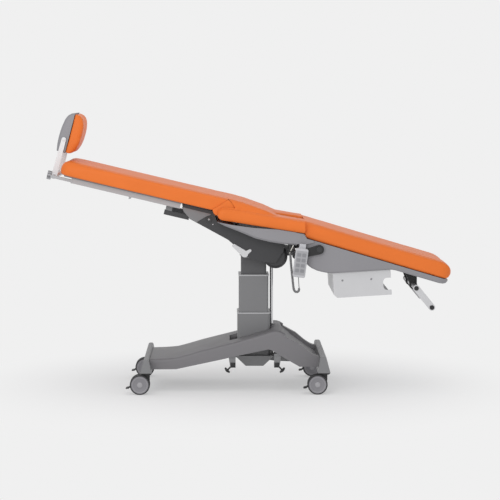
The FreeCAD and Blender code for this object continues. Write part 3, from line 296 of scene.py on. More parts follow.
# Lamps: two broad soft panels, a faint one overhead and the main one at the front left. Both aim
# at the middle of the lift column.
LAMP_AIM = Vector((0.0, 0.0, 0.6))
LAMPS = (("overhead", (0.2, -0.8, 3.4), 2.6, 12), ("front", (-1.6, -5.2, 2.4), 3.2, 95))
for name, place, size, energy in LAMPS:
    bpy.ops.object.light_add(type="AREA", location=place)
    lamp = bpy.context.object
    lamp.name = name
    lamp.data.size = size
    lamp.data.energy = energy
    lamp.rotation_euler = (LAMP_AIM - Vector(place)).to_track_quat("-Z", "Y").to_euler()

# Base frame: cross beams and a spine of welded steel in grey powder coat. Black bumper strips
# are fixed under the four beam ends.
frame_grey = finish_of("grey powder coat", (0.20, 0.20, 0.205), 0.45, grain=0.25, grain_size=1400)
black_plastic = finish_of("black moulded plastic", (0.014, 0.014, 0.015), 0.42, grain=0.3)


def dress(material, *names):
    """Give CAD nodes a finish."""
    for name in names:
        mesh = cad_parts[name].data
        mesh.materials.clear()
        mesh.materials.append(material)


dress(frame_grey, "base_frame")
dress(black_plastic, "beam_bumpers")

# Base cover: one moulded plastic saddle laid over the base frame. It rises to the column, falls
# away to both cross beams, and has rounded shoulders, a dished foot-side leg with a trough, and a
# long opening round the column. It is hollow from below.
COVER_HALF = 0.230
COVER_CREST = ((-0.497, 0.165), (-0.430, 0.167), (-0.365, 0.172), (-0.305, 0.188), (-0.245, 0.206),
               (-0.055, 0.254), (0.085, 0.295), (0.111, 0.304), (0.135, 0.308), (0.157, 0.305),
               (0.175, 0.296), (0.253, 0.240), (0.293, 0.206), (0.325, 0.185), (0.3505, 0.178))
COVER_UNDERSIDE = ((0.343, 0.126), (0.253, 0.126), (0.189, 0.163), (0.129, 0.200), (0.102, 0.215),
                   (-0.065, 0.180), (-0.130, 0.165), (-0.365, 0.115), (-0.486, 0.114))
COVER_ROOF = 0.019
HOLLOW_HALF = 0.225
HOLLOW_FLOOR = ((0.3505, 0.06), (-0.497, 0.06))
TROUGH_LINE = ((0.157, 0.330), (0.173, 0.280), (0.215, 0.246), (0.265, 0.208), (0.300, 0.182),
               (0.335, 0.160), (0.370, 0.152), (0.370, 0.330))
TROUGH_HALF = 0.185
TROUGH_WALL = 0.005
TROUGH_FLOOR = 0.007
RIDGE_ROUND = 0.010
SHOULDER_ROUND = 0.014
TROUGH_ROUND = 0.012
COLUMN_OPENING = ((-0.097, -0.103, 0.150), (0.1105, 0.103, 0.330))
LUG_OPENING = ((0.1075, 0.042, 0.200), (0.138, 0.078, 0.330))


def draw_line(name, points):
    """A line of corners in the XZ plane, drawn by pulling out one corner after another."""
    bpy.ops.object.select_all(action="DESELECT")
    bpy.ops.mesh.primitive_plane_add(size=0.01)
    piece = bpy.context.object
    piece.name = name
    bpy.ops.object.mode_set(mode="EDIT")
    bpy.ops.mesh.select_mode(type="VERT")
    bpy.ops.mesh.select_all(action="SELECT")
    bpy.ops.mesh.merge(type="CENTER")
    bpy.ops.transform.translate(value=(points[0][0], 0, points[0][1]))
    for before, after in zip(points, points[1:]):
        step = (after[0] - before[0], 0, after[1] - before[1])
        bpy.ops.mesh.extrude_vertices_move(TRANSFORM_OT_translate={"value": step})
    bpy.ops.object.mode_set(mode="OBJECT")
    return piece


def trace(name, points, half, low=None):
    """A closed side outline, filled and pushed out across the width."""
    start = -half if low is None else low
    piece = draw_line(name, list(points) + [points[0]])
    bpy.ops.object.mode_set(mode="EDIT")
    bpy.ops.mesh.select_all(action="SELECT")
    bpy.ops.mesh.remove_doubles(threshold=0.00002)
    bpy.ops.mesh.edge_face_add()
    bpy.ops.transform.translate(value=(0, start, 0))
    bpy.ops.mesh.extrude_region_move(TRANSFORM_OT_translate={"value": (0, half - start, 0)})
    bpy.ops.mesh.select_all(action="SELECT")
    bpy.ops.mesh.normals_make_consistent(inside=False)
    bpy.ops.object.mode_set(mode="OBJECT")
    return piece


def brick(name, low, high):
    """A box between two corners."""
    bpy.ops.object.select_all(action="DESELECT")
    bpy.ops.mesh.primitive_cube_add(size=1, location=[(a + b) / 2 for a, b in zip(low, high)])
    piece = bpy.context.object
    piece.name = name
    piece.scale = [b - a for a, b in zip(low, high)]
    bpy.ops.object.transform_apply(location=True, scale=True)
    return piece


def pick(piece, kind, test):
    """In edit mode, select the corners, edges or faces whose extent passes a test."""
    bpy.ops.object.select_all(action="DESELECT")
    piece.select_set(True)
    bpy.context.view_layer.objects.active = piece
    bpy.ops.object.mode_set(mode="EDIT")
    bpy.ops.mesh.select_mode(type=kind)
    bpy.ops.mesh.select_all(action="DESELECT")
    mesh = bmesh.from_edit_mesh(piece.data)
    for item in {"VERT": mesh.verts, "EDGE": mesh.edges, "FACE": mesh.faces}[kind]:
        places = [item.co] if kind == "VERT" else [corner.co for corner in item.verts]
        low = Vector([min(values) for values in zip(*places)])
        high = Vector([max(values) for values in zip(*places)])
        if test(low, high):
            item.select_set(True)
    mesh.select_flush_mode()
    bmesh.update_edit_mesh(piece.data)


def round_off(piece, test, width, steps=4):
    """Round the edges that pass a test."""
    pick(piece, "EDGE", test)
    bpy.ops.mesh.bevel(offset=width, segments=steps, affect="EDGES")
    bpy.ops.object.mode_set(mode="OBJECT")


def combine(piece, tool, operation):
    """Join a tool shape to a piece, or take it out of it."""
    bpy.ops.object.select_all(action="DESELECT")
    piece.select_set(True)
    bpy.context.view_layer.objects.active = piece
    step = piece.modifiers.new("combine", "BOOLEAN")
    step.operation = operation
    step.object = tool
    step.solver = "EXACT"
    bpy.ops.object.modifier_apply(modifier=step.name)
    bpy.data.objects.remove(tool)


def fit(piece, material, slot, body, *nodes, sharp=35):
    """Finish a piece, put it on its body, and let it stand for CAD nodes, if any."""
    piece.data.materials.clear()
    piece.data.materials.append(material)
    bpy.ops.object.select_all(action="DESELECT")
    piece.select_set(True)
    bpy.context.view_layer.objects.active = piece
    bpy.ops.object.shade_smooth_by_angle(angle=math.radians(sharp))
    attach(piece, body)
    if nodes:
        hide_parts(*nodes)


def side_edge(low, high):
    """An edge of the outline on either side, not one that runs across."""
    return high.y - low.y < 0.001


def ridge_edge(low, high):
    """A fold across the top of the cover, between its two ends."""
    return high.y - low.y > 0.4 and low.z > 0.166 and -0.4 < low.x < 0.33


def shoulder_edge(low, high):
    """A top edge on either side of the cover. The line that it must lie above climbs with the crest."""
    climb = 0.1636 + max(0.0, min(0.14, (low.x + 0.365) * 0.20)) - 0.02 * (low.x > 0.16)
    on_side = side_edge(low, high) and abs(abs(low.y) - COVER_HALF) < 0.001
    return on_side and low.z > climb and high.x - low.x > 0.0005 and low.z > 0.163


cover_grey = finish_of("grey moulded cover", (0.175, 0.170, 0.178), 0.5, grain=0.3, grain_size=1100)
cover = trace("base_saddle_cover", COVER_CREST + COVER_UNDERSIDE, COVER_HALF)
round_off(cover, ridge_edge, RIDGE_ROUND, 3)
round_off(cover, shoulder_edge, SHOULDER_ROUND, 5)
ceiling = [(x, z - COVER_ROOF) for x, z in COVER_CREST]
hollow = trace("cover_hollow", ceiling + list(HOLLOW_FLOOR), HOLLOW_HALF)
wider = trace("trough_wall", [(x, z - TROUGH_FLOOR) for x, z in TROUGH_LINE], TROUGH_HALF + TROUGH_WALL)
combine(hollow, wider, "DIFFERENCE")
trough = trace("trough", TROUGH_LINE, TROUGH_HALF)
round_off(trough, lambda low, high: side_edge(low, high) and low.x < 0.369 and high.z < 0.329,
          TROUGH_ROUND, 4)
combine(cover, trough, "DIFFERENCE")
combine(cover, hollow, "DIFFERENCE")
combine(cover, brick("column_opening", *COLUMN_OPENING), "DIFFERENCE")
combine(cover, brick("lug_opening", *LUG_OPENING), "DIFFERENCE")
fit(cover, cover_grey, "moulded_cover", "base", "base_cover")

# Castors: four twin-wheel castors with grey wheel discs, a raised rim and a pale hub on each face,
# and thin dark tyres. Black housings carry the wheels and the brake pedals.
CASTORS = (("head_near", -0.543, -1), ("head_far", -0.543, 1),
           ("foot_near", 0.339, -1), ("foot_far", 0.339, 1))
CASTOR_OUT = 0.300
AXLE_HEIGHT = 0.05
TURNING_STEPS = 64
DISC_PROFILE = ((0, 0.0275), (0.008, 0.0278), (0.0095, 0.0262), (0.020, 0.0262), (0.034, 0.0272),
                (0.0405, 0.0296), (0.0425, 0.0296), (0.0435, 0.0285), (0.0435, 0.0112), (0, 0.0112))
TYRE_PROFILE = ((0.0437, 0.0283), (0.0455, 0.0298), (0.0478, 0.0286), (0.0492, 0.0262), (0.0498, 0.0225),
                (0.050, 0.0205), (0.0498, 0.0185), (0.0492, 0.0148), (0.0478, 0.0124), (0.0437, 0.0112))
HUB_PROFILE = ((0, 0.0292), (0.010, 0.0290), (0.0128, 0.0282), (0.0136, 0.0270), (0.0136, 0.0255))
RIM_PROFILE = ((0.0352, 0.0265), (0.0354, 0.0284), (0.0366, 0.0293), (0.0378, 0.0292), (0.0386, 0.0270))
wheel_grey = finish_of("grey castor wheel", (0.22, 0.215, 0.23), 0.4, grain=0.2)
hub_grey = finish_of("pale castor hub", (0.33, 0.325, 0.34), 0.35, grain=0.1)
tyre_grey = finish_of("dark castor tyre", (0.035, 0.035, 0.037), 0.6, grain=0.2)


def turned(name, profile, place, side):
    """A profile of radius and height, turned round a line across the table, facing one side."""
    piece = draw_line(name, profile)
    spin = piece.modifiers.new("turn", "SCREW")
    spin.steps = spin.render_steps = TURNING_STEPS
    spin.use_merge_vertices = True
    spin.merge_threshold = 0.00002
    bpy.ops.object.modifier_apply(modifier=spin.name)
    bpy.ops.object.mode_set(mode="EDIT")
    bpy.ops.mesh.select_all(action="SELECT")
    bpy.ops.mesh.normals_make_consistent(inside=False)
    bpy.ops.object.mode_set(mode="OBJECT")
    piece.rotation_euler = (math.radians(-90 * side), 0, 0)
    piece.location = place
    bpy.ops.object.transform_apply(location=True, rotation=True)
    return piece


for corner, x, side in CASTORS:
    axle = (x, side * CASTOR_OUT, AXLE_HEIGHT)
    discs = []
    for way in (-1, 1):
        face = "out" if way == side else "in"
        discs.append(turned("castor_disc_" + corner, DISC_PROFILE, axle, way))
        for part, profile, material in (("tyre", TYRE_PROFILE, tyre_grey), ("hub", HUB_PROFILE, hub_grey),
                                        ("rim", RIM_PROFILE, hub_grey)):
            piece = turned("castor_%s_%s_%s" % (part, corner, face), profile, axle, way)
            fit(piece, material, "wheel_grey", "wheels_" + corner)
    combine(discs[0], discs[1], "UNION")
    fit(discs[0], wheel_grey, "wheel_grey", "wheels_" + corner, "castor_wheels_" + corner)
    dress(black_plastic, "castor_housing_" + corner, "castor_pedal_" + corner)

# Foot switches: two square bodies on brackets under the near side of the cover, each with a black
# square cap and a plunger that ends in a domed mushroom pad, set aslant for the foot.
SWITCH_X = (-0.081, 0.139)
SWITCH_CAP_HALF = 0.0125
SWITCH_CAP_NEAR = -0.2268
SWITCH_CAP_BACK = -0.2220
SWITCH_CAP_HEIGHTS = (0.1215, 0.1465)
PLUNGER_ENDS = ((-0.1114, -135, "plunger_head_side"), (0.1694, 135, "plunger_foot_side"))
PLUNGER_Y = -0.205
PLUNGER_END_HEIGHT = 0.1036
DOME_PROFILE = ((0, 0.0058), (0.006, 0.0050), (0.0115, 0.0026), (0.0158, -0.0012), (0.0170, -0.0042),
                (0.0155, -0.0060), (0, -0.0060))
dress(frame_grey, "switch_bodies")
dress(black_plastic, "plunger_head_side", "plunger_foot_side")
for x in SWITCH_X:
    cap = brick("switch_cap", (x - SWITCH_CAP_HALF, SWITCH_CAP_NEAR, SWITCH_CAP_HEIGHTS[0]),
                (x + SWITCH_CAP_HALF, SWITCH_CAP_BACK, SWITCH_CAP_HEIGHTS[1]))
    round_off(cap, lambda low, high: True, 0.0016, 3)
    fit(cap, black_plastic, "black_plastic", "base")
for x, slant, body in PLUNGER_ENDS:
    dome = turned("switch_dome", DOME_PROFILE, (0, 0, 0), 0)
    dome.rotation_euler = (0, math.radians(slant), 0)
    dome.location = (x, PLUNGER_Y, PLUNGER_END_HEIGHT)
    bpy.ops.object.transform_apply(location=True, rotation=True)
    fit(dome, black_plastic, "black_plastic", body)

# Lift column: three painted box tubes that slide in each other, with pale plastic glide collars
# at the mouths, a bright ground rod beside them and the dark coated lift drive inside.
column_grey = finish_of("grey column paint", (0.200, 0.200, 0.205), 0.4, grain=0.2, grain_size=1400)
# The inner tube is painted darker than the other two: painted shade from the seat above it.
inner_painted_shade_grey = finish_of("column paint darkened with painted shade", (0.088, 0.088, 0.092), 0.4, grain=0.2, grain_size=1400)
collar_pale = finish_of("pale glide plastic", (0.45, 0.45, 0.46), 0.35, grain=0.1)
bright_bar = finish_of("ground bright bar", (0.62, 0.62, 0.63), 0.22, metal=1.0)
dark_metal = finish_of("dark coated steel", (0.03, 0.03, 0.032), 0.4, grain=0.2)
dress(column_grey, "column_outer", "column_middle")
dress(inner_painted_shade_grey, "column_inner")
dress(collar_pale, "collar_outer", "collar_middle")
dress(bright_bar, "guide_rod")
dress(dark_metal, "lift_drive")

# Head and chassis: the bracket on the inner tube, the seat's steel frame and the back's frame are
# welded steel in grey powder coat. Bright flanged pins carry the tilt, dark pins the back.
light_metal = finish_of("light brushed steel", (0.55, 0.55, 0.56), 0.35, metal=0.6)
dress(frame_grey, "head_bracket", "chassis_frame", "back_frame")
dress(light_metal, "tilt_pins")
dress(dark_metal, "back_hinge_pin")

# Arm casing: moulded plastic under the back and seat, coloured dark with painted shade from the seat above
# it. A cheek plate lies on each side, held by a screw; its paler grey is painted light where the casing
# stands clear of the seat's shadow. A bright ring sits on each end of the back hinge pin.
CHEEK_LINE = ((-0.335, 0.9265), (-0.190, 0.8915), (-0.196, 0.884), (-0.215, 0.878), (-0.240, 0.863),
              (-0.262, 0.8495), (-0.294, 0.8668), (-0.3255, 0.9030))
CHEEK_INSIDE = 0.1995
CHEEK_OUTSIDE = 0.2025
CASING_SCREW_PROFILE = ((0, 0.0022), (0.0022, 0.0022), (0.0030, 0.0014), (0.0030, -0.002), (0, -0.002))
CASING_SCREW = (-0.180, 0.2002, 0.839)
RING_PROFILE = ((0.0022, 0.0008), (0.0040, 0.0008), (0.0046, 0.0), (0.0040, -0.001), (0.0022, -0.001),
                (0.0022, 0.0008))
BACK_HINGE = (-0.200, 0.864)
# Painted shade: the casing's dark grey stands in for the seat's shadow. Painted light: the cheeks' paler
# grey stands in for the lit casing.
casing_painted_shade = finish_of("casing grey with painted shade", (0.040, 0.040, 0.043), 0.42, grain=0.3)
cheek_painted_light = finish_of("cheek grey with painted light", (0.215, 0.215, 0.222), 0.45, grain=0.25)
dress(casing_painted_shade, "arm_casing")
for side in (-1, 1):
    low, high = sorted((side * CHEEK_INSIDE, side * CHEEK_OUTSIDE))
    cheek = trace("casing_cheek", CHEEK_LINE, high, low)
    round_off(cheek, lambda low, high: high.y - low.y < 0.0005, 0.0012, 2)
    fit(cheek, cheek_painted_light, "dark_cover", "chassis")
for side in (-1, 1):
    x, out, z = CASING_SCREW
    screw = turned("casing_screw", CASING_SCREW_PROFILE, (x, side * out, z), side)
    fit(screw, light_metal, "light_metal", "chassis")
for side in (-1, 1):
    pin_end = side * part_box("back_hinge_pin")[1][1]
    ring = turned("hinge_pin_ring", RING_PROFILE, (BACK_HINGE[0], pin_end, BACK_HINGE[1]), side)
    fit(ring, light_metal, "light_metal", "chassis")

# Seat shell: a light grey moulded tub that is fixed to the chassis under the seat pad.
# The leg shell and the headrest shell have the same finish.
shell_grey = finish_of("light grey shell", (0.255, 0.25, 0.265), 0.45, grain=0.25, grain_size=1100)
dress(shell_grey, "seat_shell")

# Back rails and headrest: powder-coated steel rails and slide, white arms on a sleeve with a grey
# die-cast clamp knob, and a moulded rear shell that hangs on two capped pivot pins.
HEAD_PIVOT = (-0.923, 1.262)
HEAD_LEAN = 15.0
HEAD_SHELL_LINE = ((0.0213, 0.140), (0.0213, -0.066), (-0.022, -0.065), (-0.0275, -0.030), (-0.029, 0.0),
                   (-0.0285, 0.032), (-0.026, 0.062), (-0.020, 0.096), (-0.015, 0.110), (-0.008, 0.122),
                   (0.005, 0.134))
HEAD_SHELL_HALF = 0.148
HEAD_SHELL_ROUND = 0.012
PIVOT_CAP_PROFILE = ((0, 0.1635), (0.006, 0.1635), (0.009, 0.1615), (0.009, 0.1603))
rail_grey = finish_of("grey powder coat of the rails", (0.40, 0.40, 0.41), 0.4, grain=0.25, grain_size=1400)
white_coat = finish_of("white powder coat", (0.72, 0.72, 0.73), 0.35, grain=0.2)
knob_grey = finish_of("grey die-cast knob", (0.24, 0.24, 0.25), 0.35, metal=0.4, grain=0.2)


def settle(piece, origin, slope):
    """Turn a piece that was drawn level down to the foot end, and set it on its origin."""
    bpy.ops.object.select_all(action="DESELECT")
    piece.select_set(True)
    bpy.context.view_layer.objects.active = piece
    piece.rotation_euler = (0, math.radians(slope), 0)
    piece.location = (origin[0], 0, origin[1])
    bpy.ops.object.transform_apply(location=True, rotation=True)


dress(rail_grey, "side_rails", "headrest_slide")
dress(white_coat, "headrest_arms")
dress(knob_grey, "clamp_knob")
head_shell = trace("headrest_back_shell", HEAD_SHELL_LINE, HEAD_SHELL_HALF)
round_off(head_shell, lambda low, high: side_edge(low, high) and low.x < 0.020, HEAD_SHELL_ROUND, 5)
settle(head_shell, HEAD_PIVOT, HEAD_LEAN)
fit(head_shell, shell_grey, "shell_grey", "headrest", "headrest_shell")
for way in (-1, 1):
    cap = turned("headrest_pivot_cap", PIVOT_CAP_PROFILE, (HEAD_PIVOT[0], 0, HEAD_PIVOT[1]), way)
    fit(cap, white_coat, "white_paint", "headrest")

# Leg shell: a deep moulded tub under the leg pad, thin at the foot end and rounded there in plan.
# It swings on dark pins in two black arms that are fixed to the chassis.
LEG_HINGE = (0.347, 0.720)
LEG_SLOPE = 16.5
LEG_SHELL_LINE = ((-0.080, 0.0335), (0.663, 0.0335), (0.661, 0.024), (0.652, 0.015), (0.637, 0.009),
                  (0.616, 0.0065), (0.378, 0.0065), (0.095, -0.097), (0.076, -0.101), (0.058, -0.103),
                  (0.040, -0.1045), (0.020, -0.105), (-0.007, -0.101), (-0.020, -0.097), (-0.032, -0.092),
                  (-0.051, -0.077), (-0.066, -0.058), (-0.078, -0.033), (-0.083, -0.010))
LEG_SHELL_HALF = 0.280
LEG_SHELL_KINK_ROUND = 0.020
LEG_SHELL_RIM_ROUND = 0.010
LEG_SHELL_CORNER = 0.056
LEG_SHELL_PLAN = ((-0.120, -0.2805, -0.130), (0.6632, 0.2805, 0.060))
leg_tub = trace("leg_shell_tub", LEG_SHELL_LINE, LEG_SHELL_HALF)
round_off(leg_tub, lambda low, high: high.y - low.y > 0.5 and 0.36 < low.x < 0.39 and high.z < 0.01,
          LEG_SHELL_KINK_ROUND, 4)
round_off(leg_tub, lambda low, high: side_edge(low, high) and high.z < 0.030 and low.x < 0.6625,
          LEG_SHELL_RIM_ROUND, 4)
plan = brick("leg_shell_plan", *LEG_SHELL_PLAN)
round_off(plan, lambda low, high: high.z - low.z > 0.1 and low.x > 0.6, LEG_SHELL_CORNER, 8)
combine(leg_tub, plan, "INTERSECT")
settle(leg_tub, LEG_HINGE, LEG_SLOPE)
fit(leg_tub, shell_grey, "shell_grey", "leg", "leg_shell")
dress(black_plastic, "leg_hinge_arms")
dress(dark_metal, "leg_hinge_pins")

# Accessory box: pale powder-coated sheet metal under the leg shell, held by two screws a side.
# The screws are grey pan heads that stand just proud of its sides.
BOX_SCREWS = ((0.4634, 0.5635), (0.6072, 0.5704))
BOX_SCREW_PROFILE = ((0, 0.2665), (0.0025, 0.2665), (0.0045, 0.2655), (0.005, 0.264), (0.005, 0.2625))
box_grey = finish_of("pale powder coat", (0.56, 0.56, 0.57), 0.4, grain=0.25, grain_size=1400)
dress(box_grey, "accessory_box")
for x, z in BOX_SCREWS:
    for way in (-1, 1):
        screw = turned("box_screw", BOX_SCREW_PROFILE, (x, 0, z), way)
        fit(screw, knob_grey, "light_metal", "leg")

# Foot bar: two brushed grips between rounded flat steel end plates in pale powder coat. It swings
# in black brackets under the foot end, and black caps close its tubes.
GRIP_NEAR_HINGE = Vector((0.832, 0.524))
GRIP_AT_END = Vector((0.910, 0.428))
END_PLATE_RADIUS = 0.0165
END_PLATE_INSIDE = 0.2615
END_PLATE_OUTSIDE = 0.2654
ARC_STEPS = 8
dress(light_metal, "foot_bar")
dress(black_plastic, "foot_brackets", "foot_bar_caps")
along = (GRIP_AT_END - GRIP_NEAR_HINGE).normalized()
plate_line = []
for centre, start in ((GRIP_AT_END, -90), (GRIP_NEAR_HINGE, 90)):
    for step in range(ARC_STEPS + 1):
        turn = math.radians(start + step * 180 / ARC_STEPS)
        way = (along.x * math.cos(turn) - along.y * math.sin(turn),
               along.x * math.sin(turn) + along.y * math.cos(turn))
        plate_line.append((centre.x + END_PLATE_RADIUS * way[0], centre.y + END_PLATE_RADIUS * way[1]))
for low, high in ((-END_PLATE_OUTSIDE, -END_PLATE_INSIDE), (END_PLATE_INSIDE, END_PLATE_OUTSIDE)):
    plate = trace("foot_bar_end_plate", plate_line, high, low)
    round_off(plate, lambda low, high: high.y - low.y < 0.0005, 0.0008, 2)
    fit(plate, box_grey, "light_paint", "foot_bar")

# Handset: a rounded case of pale grey plastic that hangs at the near side of the seat, with a
# greyer keypad film and eight soft keys. Its cord ends in a black gland with a pale strap beside it.
HANDSET_CENTRE = (0.2525, 0.6565)
HANDSET_LEAN = 7.6
FILM_LOW = (-0.0265, -0.3316, -0.0600)
FILM_HIGH = (0.0265, -0.3306, 0.0600)
STRAP_LINE = ((0.2160, 0.7425), (0.2200, 0.7425), (0.2008, 0.7005), (0.1972, 0.7020))
handset_grey = finish_of("pale grey handset shell", (0.48, 0.48, 0.50), 0.4, grain=0.2)
key_grey = finish_of("grey handset keys", (0.24, 0.24, 0.255), 0.5, grain=0.1)
film_grey = finish_of("grey keypad film", (0.345, 0.345, 0.36), 0.5, grain=0.1)
strap_pale = finish_of("pale cord strap", (0.72, 0.70, 0.64), 0.4, grain=0.1)
dress(handset_grey, "handset")
dress(black_plastic, "cord_gland")
for number in range(1, 9):
    dress(key_grey, "key_%d" % number)
film = brick("keypad_film", FILM_LOW, FILM_HIGH)
round_off(film, lambda low, high: high.y - low.y > 0.0005, 0.004, 4)
settle(film, HANDSET_CENTRE, HANDSET_LEAN)
fit(film, film_grey, "handset_grey", "chassis")
strap = trace("cord_strap", STRAP_LINE, -0.2925, -0.2965)
round_off(strap, lambda low, high: True, 0.0007, 2)
fit(strap, strap_pale, "light_metal", "chassis")

# Back pad: orange synthetic leather pulled tight over moulded foam on the back's board. It is
# drawn level, rounded, blown up a little as cloth, cut to a mitre at the hinge, and set on its slope.
BACK_SLOPE = 13.3
BACK_HALF = 0.283
BACK_BOTTOM = 0.0525
BACK_TOP = 0.121
BACK_HEAD_END = -0.777
BACK_SEAT_END = 0.130
BACK_CORNER = 0.055
BACK_CROWN_ROUND = 0.032
BACK_UNDER_ROUND = 0.015
BACK_FLOOR = 0.0530
BACK_MITRE_SPOT = (0.0, 0, 0.053)
BACK_MITRE = (0.697, 0, -0.717)
PAD_CELL = 0.0075
PAD_SWELL = 0.006
PAD_EVENING = 18
LEATHER_SHARP = 60
orange = finish_of("orange synthetic leather", (0.76, 0.182, 0.038), 0.38, grain=0.5, grain_size=420,
                   tone=0.10, gloss=0.07)


def swell(pad, cell, cap, floor_level, rounds):
    """Even out the mesh and blow it up as cloth; no point moves further than the cap."""
    pad.data.remesh_voxel_size = cell
    bpy.ops.object.select_all(action="DESELECT")
    pad.select_set(True)
    bpy.context.view_layer.objects.active = pad
    bpy.ops.object.voxel_remesh()
    ease = pad.modifiers.new("ease", "SMOOTH")
    ease.iterations = rounds
    bpy.ops.object.modifier_apply(modifier=ease.name)
    rest = [vertex.co.copy() for vertex in pad.data.vertices]
    cloth = pad.modifiers.new("swell", "CLOTH")
    cloth.settings.use_pressure = True
    cloth.settings.uniform_pressure_force = 4.0
    cloth.settings.effector_weights.gravity = 0.0
    for number in range(1, 21):
        scene.frame_set(number)
    bpy.ops.object.modifier_apply(modifier=cloth.name)
    scene.frame_set(1)
    for vertex, start in zip(pad.data.vertices, rest):
        move = vertex.co - start
        if move.length > cap:
            vertex.co = start + move * (cap / move.length)
        if vertex.co.z < floor_level:
            vertex.co.z = floor_level
    fine = pad.modifiers.new("fine", "SUBSURF")
    fine.levels = fine.render_levels = 1
    bpy.ops.object.modifier_apply(modifier=fine.name)


def slice_off(piece, spot, normal):
    """Cut a piece by a plane and close it, leaving the side that the normal points away from."""
    pick(piece, "VERT", lambda low, high: True)
    bpy.ops.mesh.bisect(plane_co=spot, plane_no=normal, use_fill=True, clear_outer=True)
    bpy.ops.object.mode_set(mode="OBJECT")


def upright_edge(low, high):
    return high.z - low.z > 0.03 and high.x - low.x < 0.001 and high.y - low.y < 0.001


back = brick("back_cushion", (BACK_HEAD_END, -BACK_HALF, BACK_BOTTOM), (BACK_SEAT_END, BACK_HALF, BACK_TOP))
round_off(back, lambda low, high: upright_edge(low, high) and low.x < 0, BACK_CORNER, 8)
round_off(back, lambda low, high: low.z > 0.1205 and high.x < 0.1299, BACK_CROWN_ROUND, 6)
round_off(back, lambda low, high: high.z < 0.0526 and high.x < 0.1299, BACK_UNDER_ROUND, 4)
swell(back, PAD_CELL, PAD_SWELL, BACK_FLOOR, PAD_EVENING)
slice_off(back, BACK_MITRE_SPOT, BACK_MITRE)
settle(back, BACK_HINGE, BACK_SLOPE)
fit(back, orange, "orange_leather", "back", "back_pad", sharp=LEATHER_SHARP)

# Leg pad: the same leather over foam, with a bullnose at the foot end. It lies on the leg shell's
# rim, and its knee end is cut upright, to face the end of the seat pad.
LEG_PAD_HALF = 0.283
LEG_PAD_START = -0.180
LEG_CORNER = 0.060
LEG_CROWN_ROUND = 0.034
LEG_UNDER_ROUND = 0.014
LEG_PAD_LINE = ((-0.180, 0.0335), (0.645, 0.0335), (0.659, 0.037), (0.669, 0.046), (0.674, 0.060),
                (0.672, 0.076), (0.663, 0.091), (0.648, 0.102), (0.628, 0.108), (-0.180, 0.108))
LEG_FLOOR = 0.0342
KNEE_CUT = -0.0722
leg_turn = math.radians(LEG_SLOPE)
leg = brick("leg_cushion", (LEG_PAD_START, -LEG_PAD_HALF, 0.0), (0.674, LEG_PAD_HALF, 0.150))
round_off(leg, lambda low, high: upright_edge(low, high) and low.x > 0, LEG_CORNER, 8)
combine(leg, trace("leg_profile", LEG_PAD_LINE, 0.300), "INTERSECT")
round_off(leg, lambda low, high: low.z > 0.1075 and high.x - low.x > 0.5, LEG_CROWN_ROUND, 6)
round_off(leg, lambda low, high: high.z < 0.0340 and high.x - low.x > 0.5, LEG_UNDER_ROUND, 4)
swell(leg, PAD_CELL, PAD_SWELL, LEG_FLOOR, PAD_EVENING)
slice_off(leg, (KNEE_CUT, 0, 0.0), (-math.cos(leg_turn), 0, -math.sin(leg_turn)))
settle(leg, LEG_HINGE, LEG_SLOPE)
fit(leg, orange, "orange_leather", "leg", "leg_pad", sharp=LEATHER_SHARP)

# Seat pad: the same leather over foam, broad side wings under a raised crown, with a round-ended
# opening at the front. A hollow at its back makes room for the mitred end of the back pad.
SEAT_ORIGIN = (0.025, 0.8395)
SEAT_SLOPE = 9.2
WING_LINE = ((-0.168, 0.001), (-0.181, 0.005), (-0.190, 0.014), (-0.195, 0.029), (-0.192, 0.042),
             (-0.183, 0.052), (-0.168, 0.058), (0.340, 0.058), (0.340, 0.001))
WING_HALF = 0.315
WING_ROUND = 0.020
CROWN_LINE = ((0.112, 0.030), (-0.198, 0.030), (-0.198, 0.108), (-0.130, 0.104), (-0.062, 0.096),
              (0.040, 0.077), (0.112, 0.057))
CROWN_HALF = 0.285
CROWN_ROUND = 0.026
OPENING_HALF = 0.096
OPENING_CENTRE = 0.195
SEAT_CELL = 0.006
SEAT_SWELL = 0.005
SEAT_FLOOR = 0.0005
SEAT_EVENING = 9
HINGE_HOLLOW_RADIUS = 0.1435
HINGE_HOLLOW_WIDTH = 0.576
HINGE_HOLLOW_CENTRE = (-0.226, 0, -0.0118)
SEAT_END = 0.2515
seat_turn = math.radians(SEAT_SLOPE)
seat = trace("seat_cushion", WING_LINE, WING_HALF)
round_off(seat, lambda low, high: side_edge(low, high) and high.x < 0.3401 and high.z - low.z < 0.02,
          WING_ROUND, 5)
crown = trace("seat_crown", CROWN_LINE, CROWN_HALF)
round_off(crown, lambda low, high: side_edge(low, high) and low.z > 0.055, CROWN_ROUND, 5)
combine(seat, crown, "UNION")
bpy.ops.mesh.primitive_cylinder_add(vertices=48, radius=OPENING_HALF, depth=0.30,
                                    location=(OPENING_CENTRE, 0, 0.05))
combine(seat, bpy.context.object, "DIFFERENCE")
combine(seat, brick("front_opening", (OPENING_CENTRE, -OPENING_HALF, -0.10), (0.40, OPENING_HALF, 0.20)),
        "DIFFERENCE")
swell(seat, SEAT_CELL, SEAT_SWELL, SEAT_FLOOR, SEAT_EVENING)
bpy.ops.mesh.primitive_cylinder_add(vertices=128, radius=HINGE_HOLLOW_RADIUS, depth=HINGE_HOLLOW_WIDTH,
                                    location=HINGE_HOLLOW_CENTRE, rotation=(math.radians(90), 0, 0))
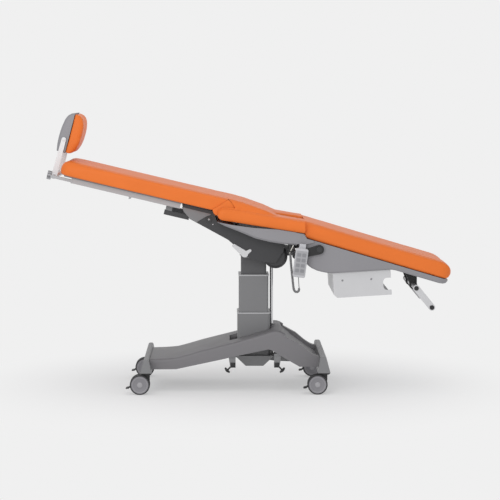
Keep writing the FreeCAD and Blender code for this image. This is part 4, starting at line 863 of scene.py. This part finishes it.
combine(seat, bpy.context.object, "DIFFERENCE")
slice_off(seat, (SEAT_END * math.cos(seat_turn), 0, SEAT_END * math.sin(seat_turn)),
          (math.cos(seat_turn), 0, math.sin(seat_turn)))
settle(seat, SEAT_ORIGIN, SEAT_SLOPE)
fit(seat, orange, "orange_leather", "chassis", "seat_pad", sharp=LEATHER_SHARP)

# Hinge gusset: a soft leather infill between the seat crown and the mitred end of the back pad.
# It rests on the seat.
GUSSET_LINE = ((-0.1045, 0.9650), (-0.0966, 0.9621), (-0.0828, 0.9458), (-0.0723, 0.9285), (-0.0662, 0.9120),
               (-0.1500, 0.8900), (-0.1660, 0.8890), (-0.1775, 0.9020), (-0.1825, 0.9180))
GUSSET_HALF = 0.2835
gusset = trace("hinge_gusset", GUSSET_LINE, GUSSET_HALF)
round_off(gusset, side_edge, 0.004, 3)
fit(gusset, orange, "orange_leather", "chassis", sharp=LEATHER_SHARP)
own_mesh(gusset)

# Headrest pad: the same leather over a thick foam core, crowned at the front and flat where it
# lies on the headrest shell.
HEAD_PAD_LINE = ((0.0222, -0.064), (0.040, -0.066), (0.053, -0.058), (0.063, -0.040), (0.071, -0.015),
                 (0.075, 0.010), (0.0765, 0.040), (0.0755, 0.070), (0.070, 0.100), (0.061, 0.122),
                 (0.046, 0.135), (0.0222, 0.139))
HEAD_PAD_HALF = 0.150
HEAD_PAD_ROUND = 0.024
HEAD_CELL = 0.005
HEAD_SWELL = 0.004
HEAD_EVENING = 12
NO_FLOOR = -0.2
head = trace("headrest_cushion", HEAD_PAD_LINE, HEAD_PAD_HALF)
round_off(head, lambda low, high: side_edge(low, high) and low.x > 0.040, HEAD_PAD_ROUND, 5)
swell(head, HEAD_CELL, HEAD_SWELL, NO_FLOOR, HEAD_EVENING)
settle(head, HEAD_PIVOT, HEAD_LEAN)
fit(head, orange, "orange_leather", "headrest", "headrest_pad", sharp=LEATHER_SHARP)

bpy.context.view_layer.update()
